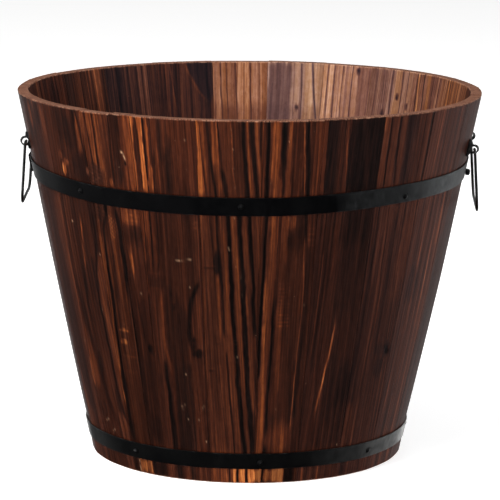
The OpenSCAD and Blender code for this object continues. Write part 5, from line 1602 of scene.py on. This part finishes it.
# ---------------------------------------------------------------------- stage
FLOOR_SIZE = 9.0
fm, fnt, fb = new_material("pale_floor")
fb.inputs["Base Color"].default_value = (.86, .86, .86, 1)
fb.inputs["Roughness"].default_value = .9
fb.inputs["Specular IOR Level"].default_value = .1
fb.inputs["Emission Color"].default_value = (1, 1, 1, 1)
fb.inputs["Emission Strength"].default_value = .55
me = bpy.data.meshes.new("floor")
me.from_pydata([(-FLOOR_SIZE, -FLOOR_SIZE, -.0004), (FLOOR_SIZE, -FLOOR_SIZE, -.0004), (FLOOR_SIZE, FLOOR_SIZE, -.0004), (-FLOOR_SIZE, FLOOR_SIZE, -.0004)], [], [(0, 1, 2, 3)])
floor = bpy.data.objects.new("floor", me)
bpy.context.scene.collection.objects.link(floor)
me.materials.append(fm)
floor.visible_glossy = False

# a pale curtain far round the floor, which only the camera sees
bm_mat = bpy.data.materials.new("backdrop_paper")
bm_mat.use_nodes = True
bn = bm_mat.node_tree
bn.nodes.clear()
bout = bn.nodes.new("ShaderNodeOutputMaterial")
bem = bn.nodes.new("ShaderNodeEmission")
bem.inputs[0].default_value = (.93, .93, .93, 1.0)
bn.links.new(bem.outputs[0], bout.inputs[0])
ring_n, ring_r, ring_h = 96, FLOOR_SIZE * .96, FLOOR_SIZE * 1.2
me = bpy.data.meshes.new("backdrop")
me.from_pydata([(ring_r * math.cos(2 * math.pi * q / ring_n), ring_r * math.sin(2 * math.pi * q / ring_n), h) for h in (-.01, ring_h) for q in range(ring_n)], [],
               [(q, (q + 1) % ring_n, ring_n + (q + 1) % ring_n, ring_n + q) for q in range(ring_n)])
backdrop = bpy.data.objects.new("backdrop", me)
bpy.context.scene.collection.objects.link(backdrop)
me.materials.append(bm_mat)
backdrop.visible_diffuse = False
backdrop.visible_glossy = False
backdrop.visible_transmission = False
backdrop.visible_shadow = False

scene = bpy.context.scene
scene.view_settings.view_transform = "Standard"
scene.view_settings.look = "None"
scene.view_settings.exposure = 0.0
scene.view_settings.gamma = 1.0
world = bpy.data.worlds.new("studio")
scene.world = world
world.use_nodes = True
wn = world.node_tree
bg = wn.nodes["Background"] if "Background" in wn.nodes else wn.nodes.new("ShaderNodeBackground")
wk = N(wn)
wtc = wn.nodes.new("ShaderNodeTexCoord")
wsep = wn.nodes.new("ShaderNodeSeparateXYZ")
wn.links.new(wtc.outputs["Generated"], wsep.inputs[0])
# what the gloss sees: a pale ground behind and to the right, dark ground in front, a pale band at the left horizon
wx, wy, wz = wsep.outputs
ws = wk.math("MULTIPLY_ADD", wx, .5, wy)
low = wk.math("MULTIPLY_ADD", wk.span(ws, .42, .98), .56, .004)
band = wk.math("MULTIPLY", wk.span(wz, -.27, -.20), wk.span(wk.math("MULTIPLY", wx, -1.0), .25, .75))
low = wk.math("MAXIMUM", low, wk.math("MULTIPLY", band, .9))
edge = wk.math("MULTIPLY", wk.math("MULTIPLY", wk.span(wx, .04, -.08), wk.span(wy, .90, .965)), wk.span(wz, -.12, -.34, 1.0, 5.6))
low = wk.math("MAXIMUM", low, edge)
high = wk.math("MULTIPLY_ADD", wk.span(wz, .35, .9), .30, .16)
up_mix = wk.span(wz, -.10, .04)
wl = wk.math("ADD", wk.math("MULTIPLY", low, wk.math("SUBTRACT", 1.0, up_mix)), wk.math("MULTIPLY", high, up_mix))
wcomb = wn.nodes.new("ShaderNodeCombineColor")
for q in range(3):
    wn.links.new(wl, wcomb.inputs[q])
wn.links.new(wcomb.outputs[0], bg.inputs[0])
bg.inputs[1].default_value = 1.0


def area(name, loc, aim, size, power, colour=(1, 1, 1), size_y=None):
    l = bpy.data.lights.new(name, "AREA")
    l.energy = power
    l.color = colour
    l.shape = "RECTANGLE"
    l.size = size
    l.size_y = size_y or size
    o = bpy.data.objects.new(name, l)
    scene.collection.objects.link(o)
    o.location = loc
    o.rotation_mode = "QUATERNION"
    o.rotation_quaternion = (Vector(aim) - Vector(loc)).to_track_quat("-Z", "Y")
    o.visible_glossy = False
    return o


area("key_left", (-1.7, -1.9, 1.5), (0, 0, .18), 1.3, 60, (1.0, .98, .95))
area("front_right", (1.2, -2.2, .9), (0, 0, .15), 1.2, 16, (1.0, .98, .96))
area("soft_right", (2.0, .55, .75), (.1, 0, .18), 1.5, 30, (.97, .98, 1.0), 1.7)
area("high_left", (-1.0, -.9, 2.5), (.05, .1, .2), 1.2, 55)

# --------------------------------------------------------------------- camera
cam = bpy.data.cameras.new("camera")
cam.sensor_width = 36.0
cam.lens = 1.0035 * 2885.21 * 36.0 / 500.0
cam.clip_start, cam.clip_end = .05, 60
camo = bpy.data.objects.new("camera", cam)
scene.collection.objects.link(camo)
D, EL, ROLL, OX, OY = 12.615 * .195, .19258, .008136, -1.621, 17.271
target = Vector((0, 0, .1534))
loc = target + Vector((0, -D * math.cos(EL), D * math.sin(EL)))
fwd = (target - loc).normalized()
right = Vector((1, 0, 0))
up = right.cross(fwd)
c, s = math.cos(ROLL), math.sin(ROLL)
right, up = right * c + up * s, up * c - right * s
fwd = (fwd + up * (OY / 2885.21) - right * (OX / 2885.21)).normalized()
right = (right - fwd * right.dot(fwd)).normalized()
up = right.cross(fwd)
camo.matrix_world = Matrix(((right.x, up.x, -fwd.x, loc.x), (right.y, up.y, -fwd.y, loc.y), (right.z, up.z, -fwd.z, loc.z), (0, 0, 0, 1)))
scene.camera = camo
